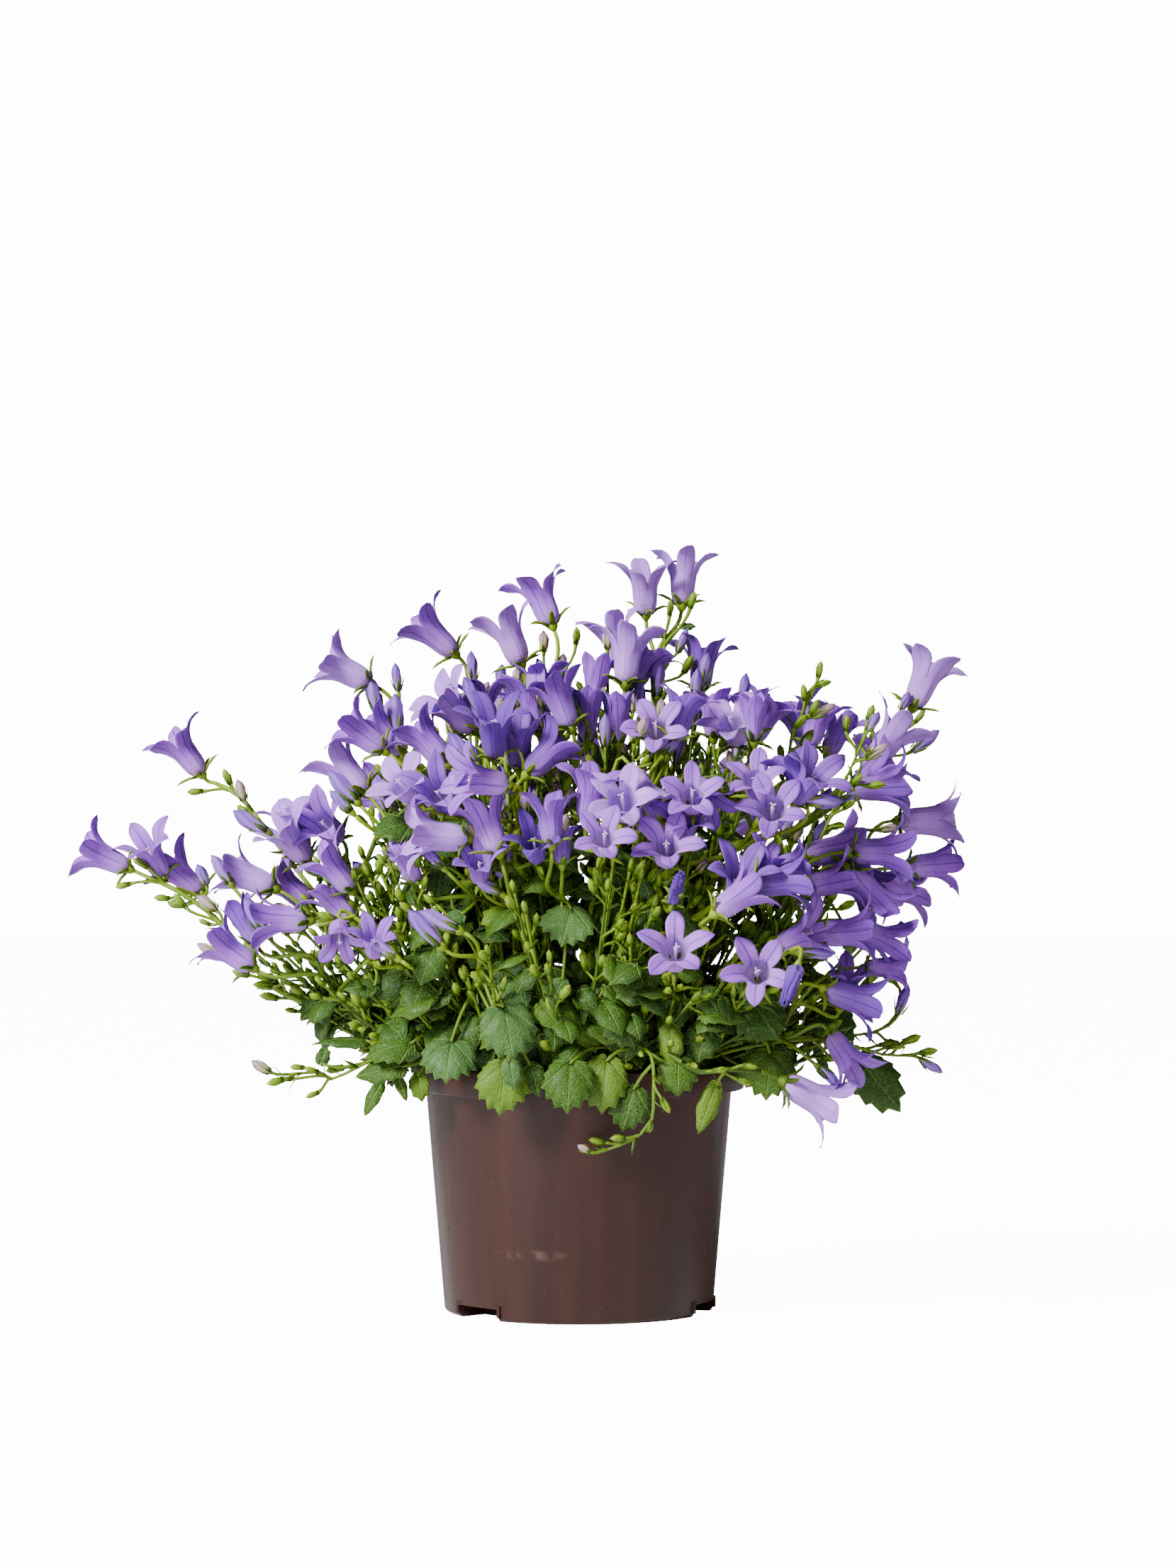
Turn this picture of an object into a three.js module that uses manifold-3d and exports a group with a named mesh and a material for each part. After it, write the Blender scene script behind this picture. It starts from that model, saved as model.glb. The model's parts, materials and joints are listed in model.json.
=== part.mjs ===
// A potted dalmatian bellflower: a brown nursery pot with its soil, leafy flowering
// stems that spread from nine crowns, and the violet bells that they carry.
// Millimetres, +Z up, the side that is looked at faces -Y, the pot's foot stands on z = 0.
import * as THREE from "three";
import Module from "manifold-3d";

const wasm = await Module();
wasm.setup();

// Driving sizes.

const POT = {
  rim: 60, rimLow: 80.5, top: 89.3, shoulder: 55.4, foot: 48.8, wall: 1.3, floor: 2.5, sides: 32,
};
const POCKET = {
  angles: [-48, 70, 190], inner: 36, outer: 60, half: 10.5, height: 4.5, wall: 1.2, slot: 5,
};
const SOIL = { edge: 80.2, middle: 82, gap: 0.3 };
const CROWN = { radius: 3.6, low: 56, high: 86, gap: 0.35, sides: 5 };
const BELL = {
  tube: 13, base: 2.4, throat: 4.4, sinus: 5.5, well: 3.5, lobe: 10.8, half: 3.5, wall: 0.65,
};
const BUD = { length: 14.5, radius: 2.9 };
const CALYX = { cup: 1.2, gap: 0.35, radius: 1.35 };
const STEM = { thick: 1.15, thin: 0.85, pedicel: 0.62, petiole: 0.75, root: 0.4 };
const LEAF = { blade: 0.65, dome: 0.13 };
const CLEAR = 0.3;

// Where the hand-read places were looked at from: picture places are in the plane y = 0.
const EYE = { x: 3.35, z: 190.7, distance: 1600 };

// Small vector kit.

const add = (a, b, s = 1) => [a[0] + b[0] * s, a[1] + b[1] * s, a[2] + b[2] * s];
const sub = (a, b) => add(a, b, -1);
const mul = (a, s) => [a[0] * s, a[1] * s, a[2] * s];
const dot = (a, b) => a[0] * b[0] + a[1] * b[1] + a[2] * b[2];
const cross = (a, b) => [
  a[1] * b[2] - a[2] * b[1],
  a[2] * b[0] - a[0] * b[2],
  a[0] * b[1] - a[1] * b[0],
];
const length = (a) => Math.sqrt(dot(a, a));
const unit = (a) => mul(a, 1 / (length(a) || 1));
const mix = (a, b, t) => add(mul(a, 1 - t), b, t);
const rad = (degrees) => (degrees * Math.PI) / 180;
const clamp = (x, low, high) => Math.min(high, Math.max(low, x));

// A repeatable draw from 0 to 1 for the thing with this number.
function draw(number, salt) {
  const s = Math.sin(number * 12.9898 + salt * 78.233) * 43758.5453;
  return s - Math.floor(s);
}

// The point at depth y that is seen at the picture place (x, z).
function place(x, z, y) {
  const k = (EYE.distance + y) / EYE.distance;
  return [EYE.x + (x - EYE.x) * k, y, EYE.z + (z - EYE.z) * k];
}

function turnedAboutZ(p, degrees, lift = 0) {
  const c = Math.cos(rad(degrees));
  const s = Math.sin(rad(degrees));
  return [p[0] * c - p[1] * s, p[0] * s + p[1] * c, p[2] + lift];
}

// The blooms, bunch by bunch.

// A bunch is blooms whose petals touch. Each row: x and z of the throat (of the middle for a bud),
// the way it points in the picture and towards the eye in degrees, its kind (S star, B bell,
// H half open, P pleated bud), its size, then the row that it touches and whether it lies
// behind (1) or before (-1) that one, and how far apart.
const BUNCHES = [
  { name: "arm_tip", y: 12, blooms: [
    [-156.5, 167, 118, 30, "B", 0.95],
    [-175, 165.3, 155, 5, "B", 0.98, 0, -1, 18.5],
    [-146, 159, 140, -10, "B", 0.95, 0, 1, 17],
  ] },
  { name: "arm_middle", y: 0, blooms: [
    [-123, 158, 157, -5, "B", 1.05],
    [-107.5, 155, 140, 0, "B", 1, 0, 1, 17.5],
    [-130, 159.8, 124, 0, "P", 0.85, 0, -1, 9],
  ] },
  { name: "arm_upper", y: -15, blooms: [
    [-107, 173, 128, 22, "B", 1.05],
    [-103, 177, 100, 10, "B", 1.05, 0, 1, 14],
    [-93.5, 177, 135, 50, "B", 1, 1, -1, 14.5],
    [-119.5, 177, 147, 0, "P", 1, 0, 1, 13.5],
  ] },
  { name: "arm_top", y: 36, blooms: [
    [-145, 204.3, 128, 8, "B", 1],
  ] },
  { name: "arm_lower", y: -24, blooms: [
    [-123, 143.5, 118, 0, "H", 0.9],
    [-118, 143.5, 122, 0, "P", 1, 0, -1, 6],
    [-112, 141.5, 178, 0, "B", 1.05, 1, -1, 8.5],
    [-129, 131.5, 145, 0, "B", 1, 0, 1, 13],
  ] },
  { name: "left_shoulder", y: -15, blooms: [
    [-73, 211, 135, -5, "B", 1],
    [-81, 210, 145, 0, "B", 0.95, 0, -1, 12],
    [-66.5, 216, 92, 5, "P", 1.05, 0, -1, 8],
  ] },
  { name: "left_peak", y: 18, blooms: [
    [-88, 233.5, 153, 3, "B", 1.05],
    [-74.5, 223, 105, 0, "P", 1, 0, 1, 15],
  ] },
  { name: "left_flank", y: -18, blooms: [
    [-87, 198, 133, -5, "B", 1.08],
    [-86, 190, 133, 0, "P", 1.05, 0, -1, 9],
    [-86.5, 184.5, 135, 0, "P", 0.75, 1, -1, 5],
  ] },
  { name: "crest_left", y: 30, blooms: [
    [-55, 247, 138, 5, "B", 1.05],
  ] },
  { name: "upper_left", y: -21, blooms: [
    [-48, 220, 135, 20, "B", 1.1],
    [-57, 208.5, 132, -8, "B", 1.05, 0, -1, 16],
    [-38.5, 223.5, 118, 0, "P", 0.95, 0, -1, 12.5],
    [-35, 222, 92, -5, "B", 0.9, 2, 1, 10],
  ] },
  { name: "left_face", y: -60, blooms: [
    [-66, 192, 133, 45, "S", 1.05],
    [-51.5, 188.5, 115, 58, "B", 0.95, 0, -1, 16],
    [-39, 192.5, 172, 25, "B", 1.05, 1, -1, 15.8],
    [-42.5, 203.5, 130, 0, "P", 1, 2, 1, 12],
  ] },
  { name: "left_middle", y: -68, blooms: [
    [-55, 172, 175, 12, "B", 1.1],
    [-63, 164.5, 110, 20, "B", 0.8, 0, 1, 15],
    [-53, 164, 135, 0, "P", 0.7, 0, 1, 7.5],
  ] },
  { name: "left_heart", y: -66, blooms: [
    [-34, 179, 110, -10, "B", 1.05],
    [-36.5, 163, 95, 45, "B", 0.85, 0, -1, 15.7],
    [-33, 153.5, 150, 0, "P", 0.75, 1, 1, 10.5],
  ] },
  { name: "left_low", y: -42, blooms: [
    [-91, 162, 130, 8, "B", 0.98],
    [-90, 150, 130, 0, "B", 0.9, 0, 1, 13],
  ] },
  { name: "left_foot", y: -60, blooms: [
    [-87, 132.5, -85, 45, "S", 0.85],
    [-74.5, 135, 90, 40, "B", 0.72, 0, 1, 12],
    [-71, 131, 145, 0, "P", 0.75, 1, -1, 7],
  ] },
  { name: "left_pleats", y: -70, blooms: [
    [-56, 138.5, 133, 5, "P", 1.15],
    [-51, 141, 155, 0, "P", 1.05, 0, 1, 5],
  ] },
  { name: "crest_middle", y: 18, blooms: [
    [-26.5, 247, 113, 0, "B", 1.08],
    [-14.5, 260.5, 112, -5, "B", 1.02, 0, 1, 17.5],
  ] },
  { name: "crest_top", y: 33, blooms: [
    [38, 268.5, 87, -12, "B", 1.05],
    [24, 265, 92, 15, "B", 1.02, 0, -1, 16.5],
  ] },
  { name: "crest_front", y: -15, blooms: [
    [18, 241, 85, -8, "B", 1.08],
    [12, 246, 108, 0, "B", 1.02, 0, 1, 14],
    [25, 236, 60, 0, "B", 0.95, 0, 1, 14],
    [28.5, 229.5, 88, 0, "P", 1, 2, -1, 8.5],
    [6.5, 231, 82, 0, "H", 0.95, 0, -1, 15],
  ] },
  { name: "upper_middle", y: -39, blooms: [
    [-17, 224, 98, 15, "B", 1.08],
    [-13, 229, 95, 0, "B", 0.9, 0, 1, 14],
    [-8, 223.5, 112, -5, "B", 1, 0, -1, 13],
    [-5.5, 222, 135, 0, "P", 0.9, 2, 1, 8],
  ] },
  { name: "dark_pair", y: -60, blooms: [
    [-31, 213, 92, 25, "B", 1.05],
    [-22, 209, 90, 20, "B", 1, 0, 1, 14.5],
    [-9.5, 203.5, 45, -10, "B", 1, 1, -1, 14],
  ] },
  { name: "slim_pair", y: -33, blooms: [
    [3, 218.5, 90, 5, "H", 0.95],
    [14, 218, 92, 0, "H", 0.95, 0, 1, 11.5],
  ] },
  { name: "upper_star", y: -62, blooms: [
    [28, 212, 95, 60, "S", 1],
    [38, 218.5, 75, 0, "B", 0.95, 0, 1, 14.5],
    [33.7, 204.4, 48, 0, "P", 0.65, 0, 1, 12],
  ] },
  { name: "crest_right", y: 30, blooms: [
    [45, 237, 86, -10, "B", 1],
  ] },
  { name: "right_star", y: -42, blooms: [
    [55, 215, 110, 45, "S", 1.05],
    [49, 219.5, 90, 0, "B", 0.9, 0, 1, 14],
    [63.5, 217.5, 92, 5, "H", 0.85, 0, -1, 12.6],
    [62, 219, 95, 0, "B", 0.9, 0, 1, 14],
  ] },
  { name: "right_crown", y: 9, blooms: [
    [69, 217, 62, 5, "B", 0.95],
    [79, 215.5, 112, -5, "B", 1.05, 0, 1, 15],
    [87, 215.5, 75, 0, "B", 0.9, 1, -1, 14],
  ] },
  { name: "right_upper", y: 12, blooms: [
    [115, 209, 52, -10, "B", 1.1],
    [105, 204.5, 100, 0, "B", 0.85, 0, 1, 14],
    [94.8, 212, 68, 0, "B", 0.92, 1, -1, 12.5],
  ] },
  { name: "right_peak", y: 42, blooms: [
    [126.8, 231.5, 67, -5, "B", 1.12],
  ] },
  { name: "right_flank", y: -3, blooms: [
    [110, 197, 40, 0, "B", 1.05],
    [113.5, 189.5, 3, 5, "B", 1.05, 0, -1, 13],
    [99.5, 186, 22, 0, "P", 0.75, 1, -1, 14],
  ] },
  { name: "right_tip", y: 18, blooms: [
    [131.5, 161.5, 4, -8, "B", 1],
    [131, 177.3, 0, 0, "B", 1.15, 0, -1, 16.5],
    [121.5, 152, -3, 0, "B", 0.98, 0, 1, 15.5],
  ] },
  { name: "right_face", y: -66, blooms: [
    [64, 194, 100, 50, "S", 0.95],
    [70.5, 183, 90, 62, "S", 1.1, 0, -1, 15],
    [78, 197, 110, 0, "B", 0.85, 0, 1, 14.5],
    [85.5, 193.5, 55, 30, "B", 0.98, 2, -1, 11.5],
    [89, 184.5, 0, 5, "P", 0.95, 3, 1, 9.8],
  ] },
  { name: "middle_right", y: -82, blooms: [
    [32, 170, 90, 55, "S", 1.08],
    [38.5, 178, 85, 45, "B", 0.95, 0, 1, 15],
    [41, 188, 95, 60, "S", 0.98, 1, -1, 14],
    [47.5, 184.5, -60, 40, "B", 0.85, 2, 1, 14],
    [36.5, 156, 75, 40, "B", 0.6, 0, -1, 17],
    [34.5, 151, 90, 62, "B", 0.5, 4, -1, 7.5],
  ] },
  { name: "middle_star", y: -84, blooms: [
    [16, 186.5, 95, 60, "S", 1.12],
    [5, 190, 80, 12, "B", 1, 0, 1, 15],
    [25, 186.5, -60, 20, "B", 0.85, 0, 1, 14],
    [9, 172.5, 90, 60, "S", 0.95, 0, -1, 17],
  ] },
  { name: "middle_left", y: -76, blooms: [
    [-10.5, 181, 93, 5, "B", 0.9],
    [-16, 170, 95, 50, "B", 0.85, 0, 1, 12.5],
    [-6.5, 171, 92, 0, "B", 0.7, 0, 1, 12],
  ] },
  { name: "front_star", y: -92, blooms: [
    [35, 132, 90, 60, "S", 1.12],
  ] },
  { name: "right_middle", y: -78, blooms: [
    [59, 158, 80, 40, "B", 1],
    [60.5, 151.5, 35, -5, "B", 0.98, 0, -1, 13],
    [69, 163.5, 60, 10, "B", 0.75, 0, 1, 13],
    [77, 156, 8, 0, "B", 1.05, 2, -1, 12],
    [78.5, 161.5, 15, 0, "B", 0.8, 3, 1, 12],
  ] },
  { name: "right_inner", y: -36, blooms: [
    [96, 167, 10, -8, "B", 1.08],
    [94.5, 156, 14, 5, "B", 1, 0, -1, 15],
    [112.5, 166, 0, -10, "B", 1.05, 0, -1, 16.8],
  ] },
  { name: "right_outer", y: -27, blooms: [
    [111, 153.5, -25, 20, "B", 1.02],
    [107, 148.5, -50, -8, "B", 1.15, 0, -1, 14],
  ] },
  { name: "right_lower", y: -64, blooms: [
    [83.5, 136.5, 25, 30, "B", 1],
    [87, 129.5, 0, 10, "P", 0.85, 0, 1, 7.5],
    [101, 137, 4, 0, "B", 1.05, 0, 1, 19],
    [111.5, 134, -25, -20, "B", 0.95, 2, 1, 16],
  ] },
  { name: "front_right_star", y: -86, blooms: [
    [65, 123.5, 95, 72, "S", 1.08],
    [77.5, 119, -110, 10, "P", 0.8, 0, -1, 13.5],
  ] },
  { name: "right_foot", y: -51, blooms: [
    [103, 112, -18, 0, "B", 1.05],
    [97, 120, 80, 20, "B", 0.85, 0, 1, 11.2],
    [114.5, 124, 0, 0, "B", 0.8, 1, 1, 18],
  ] },
  { name: "low_right", y: -57, blooms: [
    [98.5, 90, -55, 25, "B", 0.95],
    [91, 84.5, -40, 0, "P", 0.7, 0, 1, 9],
  ] },
  { name: "drooping", y: -57, blooms: [
    [88, 75.5, -28, -5, "B", 1.12],
  ] },
];

// The far side: bunches of the near side that come again, turned about the pot's axis and lowered.
const TURNED = [
  ["right_face", 95, -4], ["dark_pair", 200, -12], ["left_face", 262, -6],
  ["right_upper", 100, -52], ["left_low", 262, -6], ["right_crown", 100, 4],
];

// Layout of the blooms.

function axisOf(turn, face) {
  const flat = Math.cos(rad(face));
  return [flat * Math.cos(rad(turn)), -Math.sin(rad(face)), flat * Math.sin(rad(turn))];
}

function reachOf(kind, size) {
  return (kind === "P" ? BUD.length * 0.5 : BELL.tube) * size;
}

function blooms(bunch) {
  const made = [];
  for (const [x, z, turn, face, kind, size, parent = -1, side = 0, apart = 0] of bunch.blooms) {
    let at = place(x, z, bunch.y);
    if (parent >= 0) {
      const other = made[parent].throat;
      const flat = place(x, z, other[1]);
      const across = Math.hypot(flat[0] - other[0], flat[2] - other[2]);
      const reach = apart || 16;
      at = place(x, z, other[1] + side * Math.sqrt(Math.max(0, reach * reach - across * across)));
    }
    const plain = kind !== "S" || bunch.y > -60;
    made.push({ throat: at, axis: axisOf(turn, face), kind, plain, size, parent });
  }
  made.forEach((bloom, i) => {
    const child = made.findIndex((b) => b.parent === i);
    const mate = bloom.parent >= 0 ? bloom.parent : child;
    let toward = mate >= 0 ? sub(made[mate].throat, bloom.throat) : [0, 0, 1];
    toward = sub(toward, mul(bloom.axis, dot(toward, bloom.axis)));
    if (length(toward) < 1) toward = cross(bloom.axis, [1, 0, 0]);
    bloom.u = unit(toward);
    bloom.v = cross(bloom.axis, bloom.u);
    bloom.base = sub(bloom.throat, mul(bloom.axis, reachOf(bloom.kind, bloom.size)));
  });
  return made;
}

function turnedBloom(bloom, degrees, lift) {
  return {
    ...bloom,
    plain: true,
    throat: turnedAboutZ(bloom.throat, degrees, lift),
    base: turnedAboutZ(bloom.base, degrees, lift),
    axis: turnedAboutZ(bloom.axis, degrees),
    u: turnedAboutZ(bloom.u, degrees),
    v: turnedAboutZ(bloom.v, degrees),
  };
}

function allBunches() {
  const near = BUNCHES.map((b) => ({ name: b.name, blooms: blooms(b) }));
  const far = TURNED.map(([name, degrees, lift]) => ({
    name: `far_${name}`,
    blooms: near.find((b) => b.name === name).blooms.map((one) => turnedBloom(one, degrees, lift)),
  }));
  return [...near, ...far];
}

// Meshes by hand.

// A mesh is v, its points, and f, its triangles, which turn the right way round seen from outside.
function bridge(mesh, a, b) {
  let i = 0;
  let j = 0;
  const [n, m] = [a.length, b.length];
  while (i < n || j < m) {
    if (j >= m || (i < n && (i + 1) / n <= (j + 1) / m)) {
      mesh.f.push([a[i], a[(i + 1) % n], b[j % m]]);
      i += 1;
    } else {
      mesh.f.push([a[i % n], b[(j + 1) % m], b[j]]);
      j += 1;
    }
  }
}

// Joins ring to ring; a ring of one point is a tip, and another last ring is capped.
function extend(mesh, start, rings) {
  let a = start;
  for (const points of rings) {
    const b = points.map((p) => mesh.v.push(p) - 1);
    if (a.length === 1) b.forEach((id, i) => mesh.f.push([a[0], b[(i + 1) % b.length], id]));
    else if (b.length === 1) a.forEach((id, i) => mesh.f.push([b[0], id, a[(i + 1) % a.length]]));
    else bridge(mesh, a, b);
    a = b;
  }
  for (let i = 1; i + 1 < a.length; i += 1) mesh.f.push([a[0], a[i], a[i + 1]]);
}

function loft(rings) {
  const mesh = { v: [], f: [] };
  const first = rings[0].map((p) => mesh.v.push(p) - 1);
  for (let i = 1; i + 1 < first.length; i += 1) mesh.f.push([first[0], first[i + 1], first[i]]);
  extend(mesh, first, rings.slice(1));
  return mesh;
}

function ring(centre, u, v, radius, sides, phase = 0) {
  return Array.from({ length: sides }, (_, i) => {
    const t = rad(phase + (360 * i) / sides);
    return add(add(centre, u, radius * Math.cos(t)), v, radius * Math.sin(t));
  });
}

// Frames along a path that turn no more than the path does.
function framesAlong(points, up) {
  const frames = [];
  let u = up;
  points.forEach((p, i) => {
    const ahead = points[Math.min(i + 1, points.length - 1)];
    const behind = points[Math.max(i - 1, 0)];
    const t = unit(sub(ahead, behind));
    if (!u) u = Math.abs(t[2]) < 0.9 ? [0, 0, 1] : [1, 0, 0];
    u = unit(sub(u, mul(t, dot(u, t))));
    frames.push({ p, t, u, v: cross(t, u) });
  });
  return frames;
}

function tubeRings(points, radii, sides, up) {
  return framesAlong(points, up).map((f, i) => ring(f.p, f.u, f.v, radii[i], sides));
}

function solid(mesh) {
  return new wasm.Manifold(new wasm.Mesh({
    numProp: 3,
    vertProperties: new Float32Array(mesh.v.flat()),
    triVerts: new Uint32Array(mesh.f.flat()),
  }));
}

// A body of revolution about Z from its closed outline of (r, z), in steps that face outwards.
function revolved(outline, sides) {
  const turned = (r, z) => ring([0, 0, z], [1, 0, 0], [0, 1, 0], r, sides);
  return solid(loft(outline.map(([r, z]) => (r === 0 ? [[0, 0, z]] : turned(r, z)))));
}

// One bloom.

function bloomPoint(bloom, r, azimuth, h) {
  const t = rad(azimuth);
  const { base, axis, u, v, size } = bloom;
  return add(add(add(base, axis, h * size), u, r * size * Math.cos(t)), v, r * size * Math.sin(t));
}

// Where the middle line of a lobe runs: angle from the axis at the throat and at the tip.
const SPREAD = { S: [66, 92], B: [38, 84], H: [8, 34] };

function lobeLine(kind, share) {
  const [from, to] = SPREAD[kind];
  const steps = 8;
  let [r, h] = [BELL.throat, BELL.tube];
  for (let i = 0; i < steps; i += 1) {
    const t = rad(from + ((to - from) * (i + 0.5)) / steps);
    r += (Math.sin(t) * BELL.lobe * share) / steps;
    h += (Math.cos(t) * BELL.lobe * share) / steps;
  }
  const end = rad(from + (to - from) * share);
  return { r, h, nr: -Math.cos(end), nh: Math.sin(end) };
}

function openBloom(bloom, grow) {
  const { kind, size, plain } = bloom;
  const wall = BELL.wall / size;
  const g = grow / size;
  const mesh = { v: [], f: [] };
  const put = (r, azimuth, h) => mesh.v.push(bloomPoint(bloom, r, azimuth, h)) - 1;
  const face = (...ids) => mesh.f.push(ids);
  const well = put(0, 0, BELL.well);
  const mid = lobeLine(kind, 0.5);
  const tip = lobeLine(kind, 1);
  const half = (Math.asin(Math.min(0.95, (BELL.half + g) / mid.r)) * 180) / Math.PI;
  const edge = plain && kind !== "H" ? BELL.sinus : BELL.throat;
  const rise = BELL.tube + (plain ? 1.1 : 0);
  const B = [];
  const S = [];
  const I = [];
  for (let k = 0; k < 5; k += 1) {
    const azimuth = 72 * k - 36;
    B.push(put(BELL.base + g, azimuth, -g));
    S.push(put(edge + g, azimuth, rise - 0.2));
    I.push(put(edge - wall, azimuth, rise + 0.35 + g * 0.5));
  }
  for (let k = 0; k < 5; k += 1) {
    const n = (k + 1) % 5;
    const azimuth = 72 * k;
    const T = put(tip.r + g * 0.7, azimuth, tip.h);
    face(B[k], B[n], S[n]);
    face(B[k], S[n], S[k]);
    face(I[k], I[n], well);
    if (plain) {
      face(S[k], S[n], T);
      face(I[k], T, I[n]);
      face(S[k], T, I[k]);
      face(T, S[n], I[n]);
      continue;
    }
    const [r, h] = [mid.r - mid.nr * g, mid.h - mid.nh * g];
    const [L, R] = [-half, half].map((off) => put(r, azimuth + off, h));
    const keel = put(mid.r + mid.nr * (wall + g), azimuth, mid.h + mid.nh * (wall + g));
    face(S[k], S[n], R);
    face(S[k], R, L);
    face(L, R, T);
    face(I[k], keel, I[n]);
    face(S[k], L, I[k]);
    face(L, keel, I[k]);
    face(L, T, keel);
    face(T, R, keel);
    face(R, I[n], keel);
    face(R, S[n], I[n]);
  }
  for (let k = 1; k < 4; k += 1) face(B[0], B[k + 1], B[k]);
  return solid(mesh);
}

function pleatedBud(bloom, grow) {
  const g = grow / bloom.size;
  const at = (r, h) => Array.from({ length: 5 }, (_, k) => bloomPoint(bloom, r + g, 72 * k, h));
  return solid(loft([
    [bloomPoint(bloom, 0, 0, -g)],
    at(2.1, 2.2),
    at(BUD.radius, BUD.length * 0.66),
    [bloomPoint(bloom, 0, 0, BUD.length + g)],
  ]));
}

function bloomSolid(bloom, grow) {
  return bloom.kind === "P" ? pleatedBud(bloom, grow) : openBloom(bloom, grow);
}

// Stems.

// Crowns in the soil that the leafy stems rise from: distance from the pot's axis and bearing.
const CROWNS = [
  { name: "stems_top_left", r: 10, bearing: 180 }, { name: "stems_top_right", r: 10, bearing: 0 },
  { name: "stems_front", r: 27, bearing: -92 }, { name: "stems_front_right", r: 27, bearing: -52 },
  { name: "stems_right", r: 27, bearing: -12 }, { name: "stems_back_right", r: 27, bearing: 45 },
  { name: "stems_back_left", r: 27, bearing: 125 }, { name: "stems_left", r: 27, bearing: 190 },
  { name: "stems_front_left", r: 27, bearing: -134 },
];

// Main stems that were read by hand, as picture places with their depth, after the crown.
const ROUTES = {
  arm_tip: [[-58, 98.5, -8], [-78, 102, -4], [-98, 110.5, 0], [-112, 117.5, 3], [-120, 127.5, 5],
    [-132, 142, 8], [-146, 152, 10.5], [-152, 155, 11.5]],
  arm_top: [[-70, 120, 14], [-95, 150, 22], [-112, 172, 28], [-123, 186, 33], [-131, 190.5, 35.5]],
  drooping: [[28, 93, -52], [36, 90.5, -64], [44, 86, -68], [54, 87, -66], [66, 86, -62]],
};

// Stems without a bunch at their end, read by hand as picture places with their depth.
const SHOOTS = [
  {
    crown: "stems_front",
    way: [[14, 95, -50], [24, 94.5, -60], [27, 89, -66], [27.2, 78, -68], [26.6, 69, -66],
      [22.5, 63.5, -63], [15, 59.5, -61], [6, 56.6, -60]],
  },
  {
    crown: "stems_left",
    way: [[-56, 96, -16], [-70, 92.5, -22], [-80, 88, -24], [-89.5, 83.6, -24], [-94, 86, -24],
      [-101, 85.6, -24], [-110, 85, -24]],
  },
  {
    crown: "stems_right",
    way: [[54, 95.5, -20], [75, 98.5, -24], [95, 99, -26], [107, 100.5, -26], [113, 103, -26]],
  },
  {
    crown: "stems_right",
    way: [[56, 94, -32], [84, 98, -36], [98, 96, -36], [110, 92.5, -36], [121, 92, -36]],
  },
  {
    crown: "stems_right",
    way: [[44, 118, -14], [62, 160, -18], [74, 192, -20], [77.5, 207, -20], [83, 221, -20]],
  },
  { crown: "stems_right", way: [[62, 125, -24], [85, 165, -26], [96, 190, -26], [104, 208, -26]] },
];

function crownOf(tip) {
  const out = Math.hypot(tip[0], tip[1]);
  const bearing = Math.atan2(tip[1], tip[0]);
  const inner = tip[2] > 205 && out < 58;
  let best = null;
  for (const crown of CROWNS) {
    if (inner !== crown.r < 20) continue;
    const turn = bearing - rad(crown.bearing);
    const off = Math.abs(Math.atan2(Math.sin(turn), Math.cos(turn)));
    if (!best || off < best.off) best = { crown, off };
  }
  return best.crown;
}

function crownTop(crown, z) {
  return [crown.r * Math.cos(rad(crown.bearing)), crown.r * Math.sin(rad(crown.bearing)), z];
}

function bezier(p, q, r, s, t) {
  const k = 1 - t;
  const a = add(mul(p, k * k * k), q, 3 * k * k * t);
  return add(add(a, r, 3 * k * t * t), s, t * t * t);
}

// Where the stalks of a bunch part: under its middle, towards the heart of the plant.
function forkOf(bunch) {
  const sum = (key) => bunch.blooms.reduce((total, bloom) => add(total, bloom[key]), [0, 0, 0]);
  const centre = mul(sum("base"), 1 / bunch.blooms.length);
  const axis = unit(sum("axis"));
  const inward = unit(sub([0, 0, 100], centre));
  const fork = add(add(centre, axis, -5), inward, bunch.blooms.length > 1 ? 13 : 9);
  return { bunch, crown: crownOf(centre), axis, fork };
}

// The points along a path at even steps of about this length, with the way it runs there.
function samplesOn(points, crown, step) {
  const samples = [];
  for (let i = 0; i + 1 < points.length; i += 1) {
    const way = sub(points[i + 1], points[i]);
    const count = Math.max(1, Math.round(length(way) / step));
    for (let k = 0; k < count; k += 1) {
      samples.push({ p: mix(points[i], points[i + 1], k / count), t: unit(way), crown });
    }
  }
  return samples;
}

// A stem from its start, which it leaves along a way, to its fork, which it reaches along another.
function arch(start, leave, fork, reach) {
  const span = length(sub(fork, start));
  const p1 = add(start, leave, span * 0.36);
  const p2 = add(fork, reach, -span * 0.3);
  const steps = clamp(Math.round(span / 21), 2, 7);
  return Array.from({ length: steps + 1 }, (_, i) => bezier(start, p1, p2, fork, i / steps));
}

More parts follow.
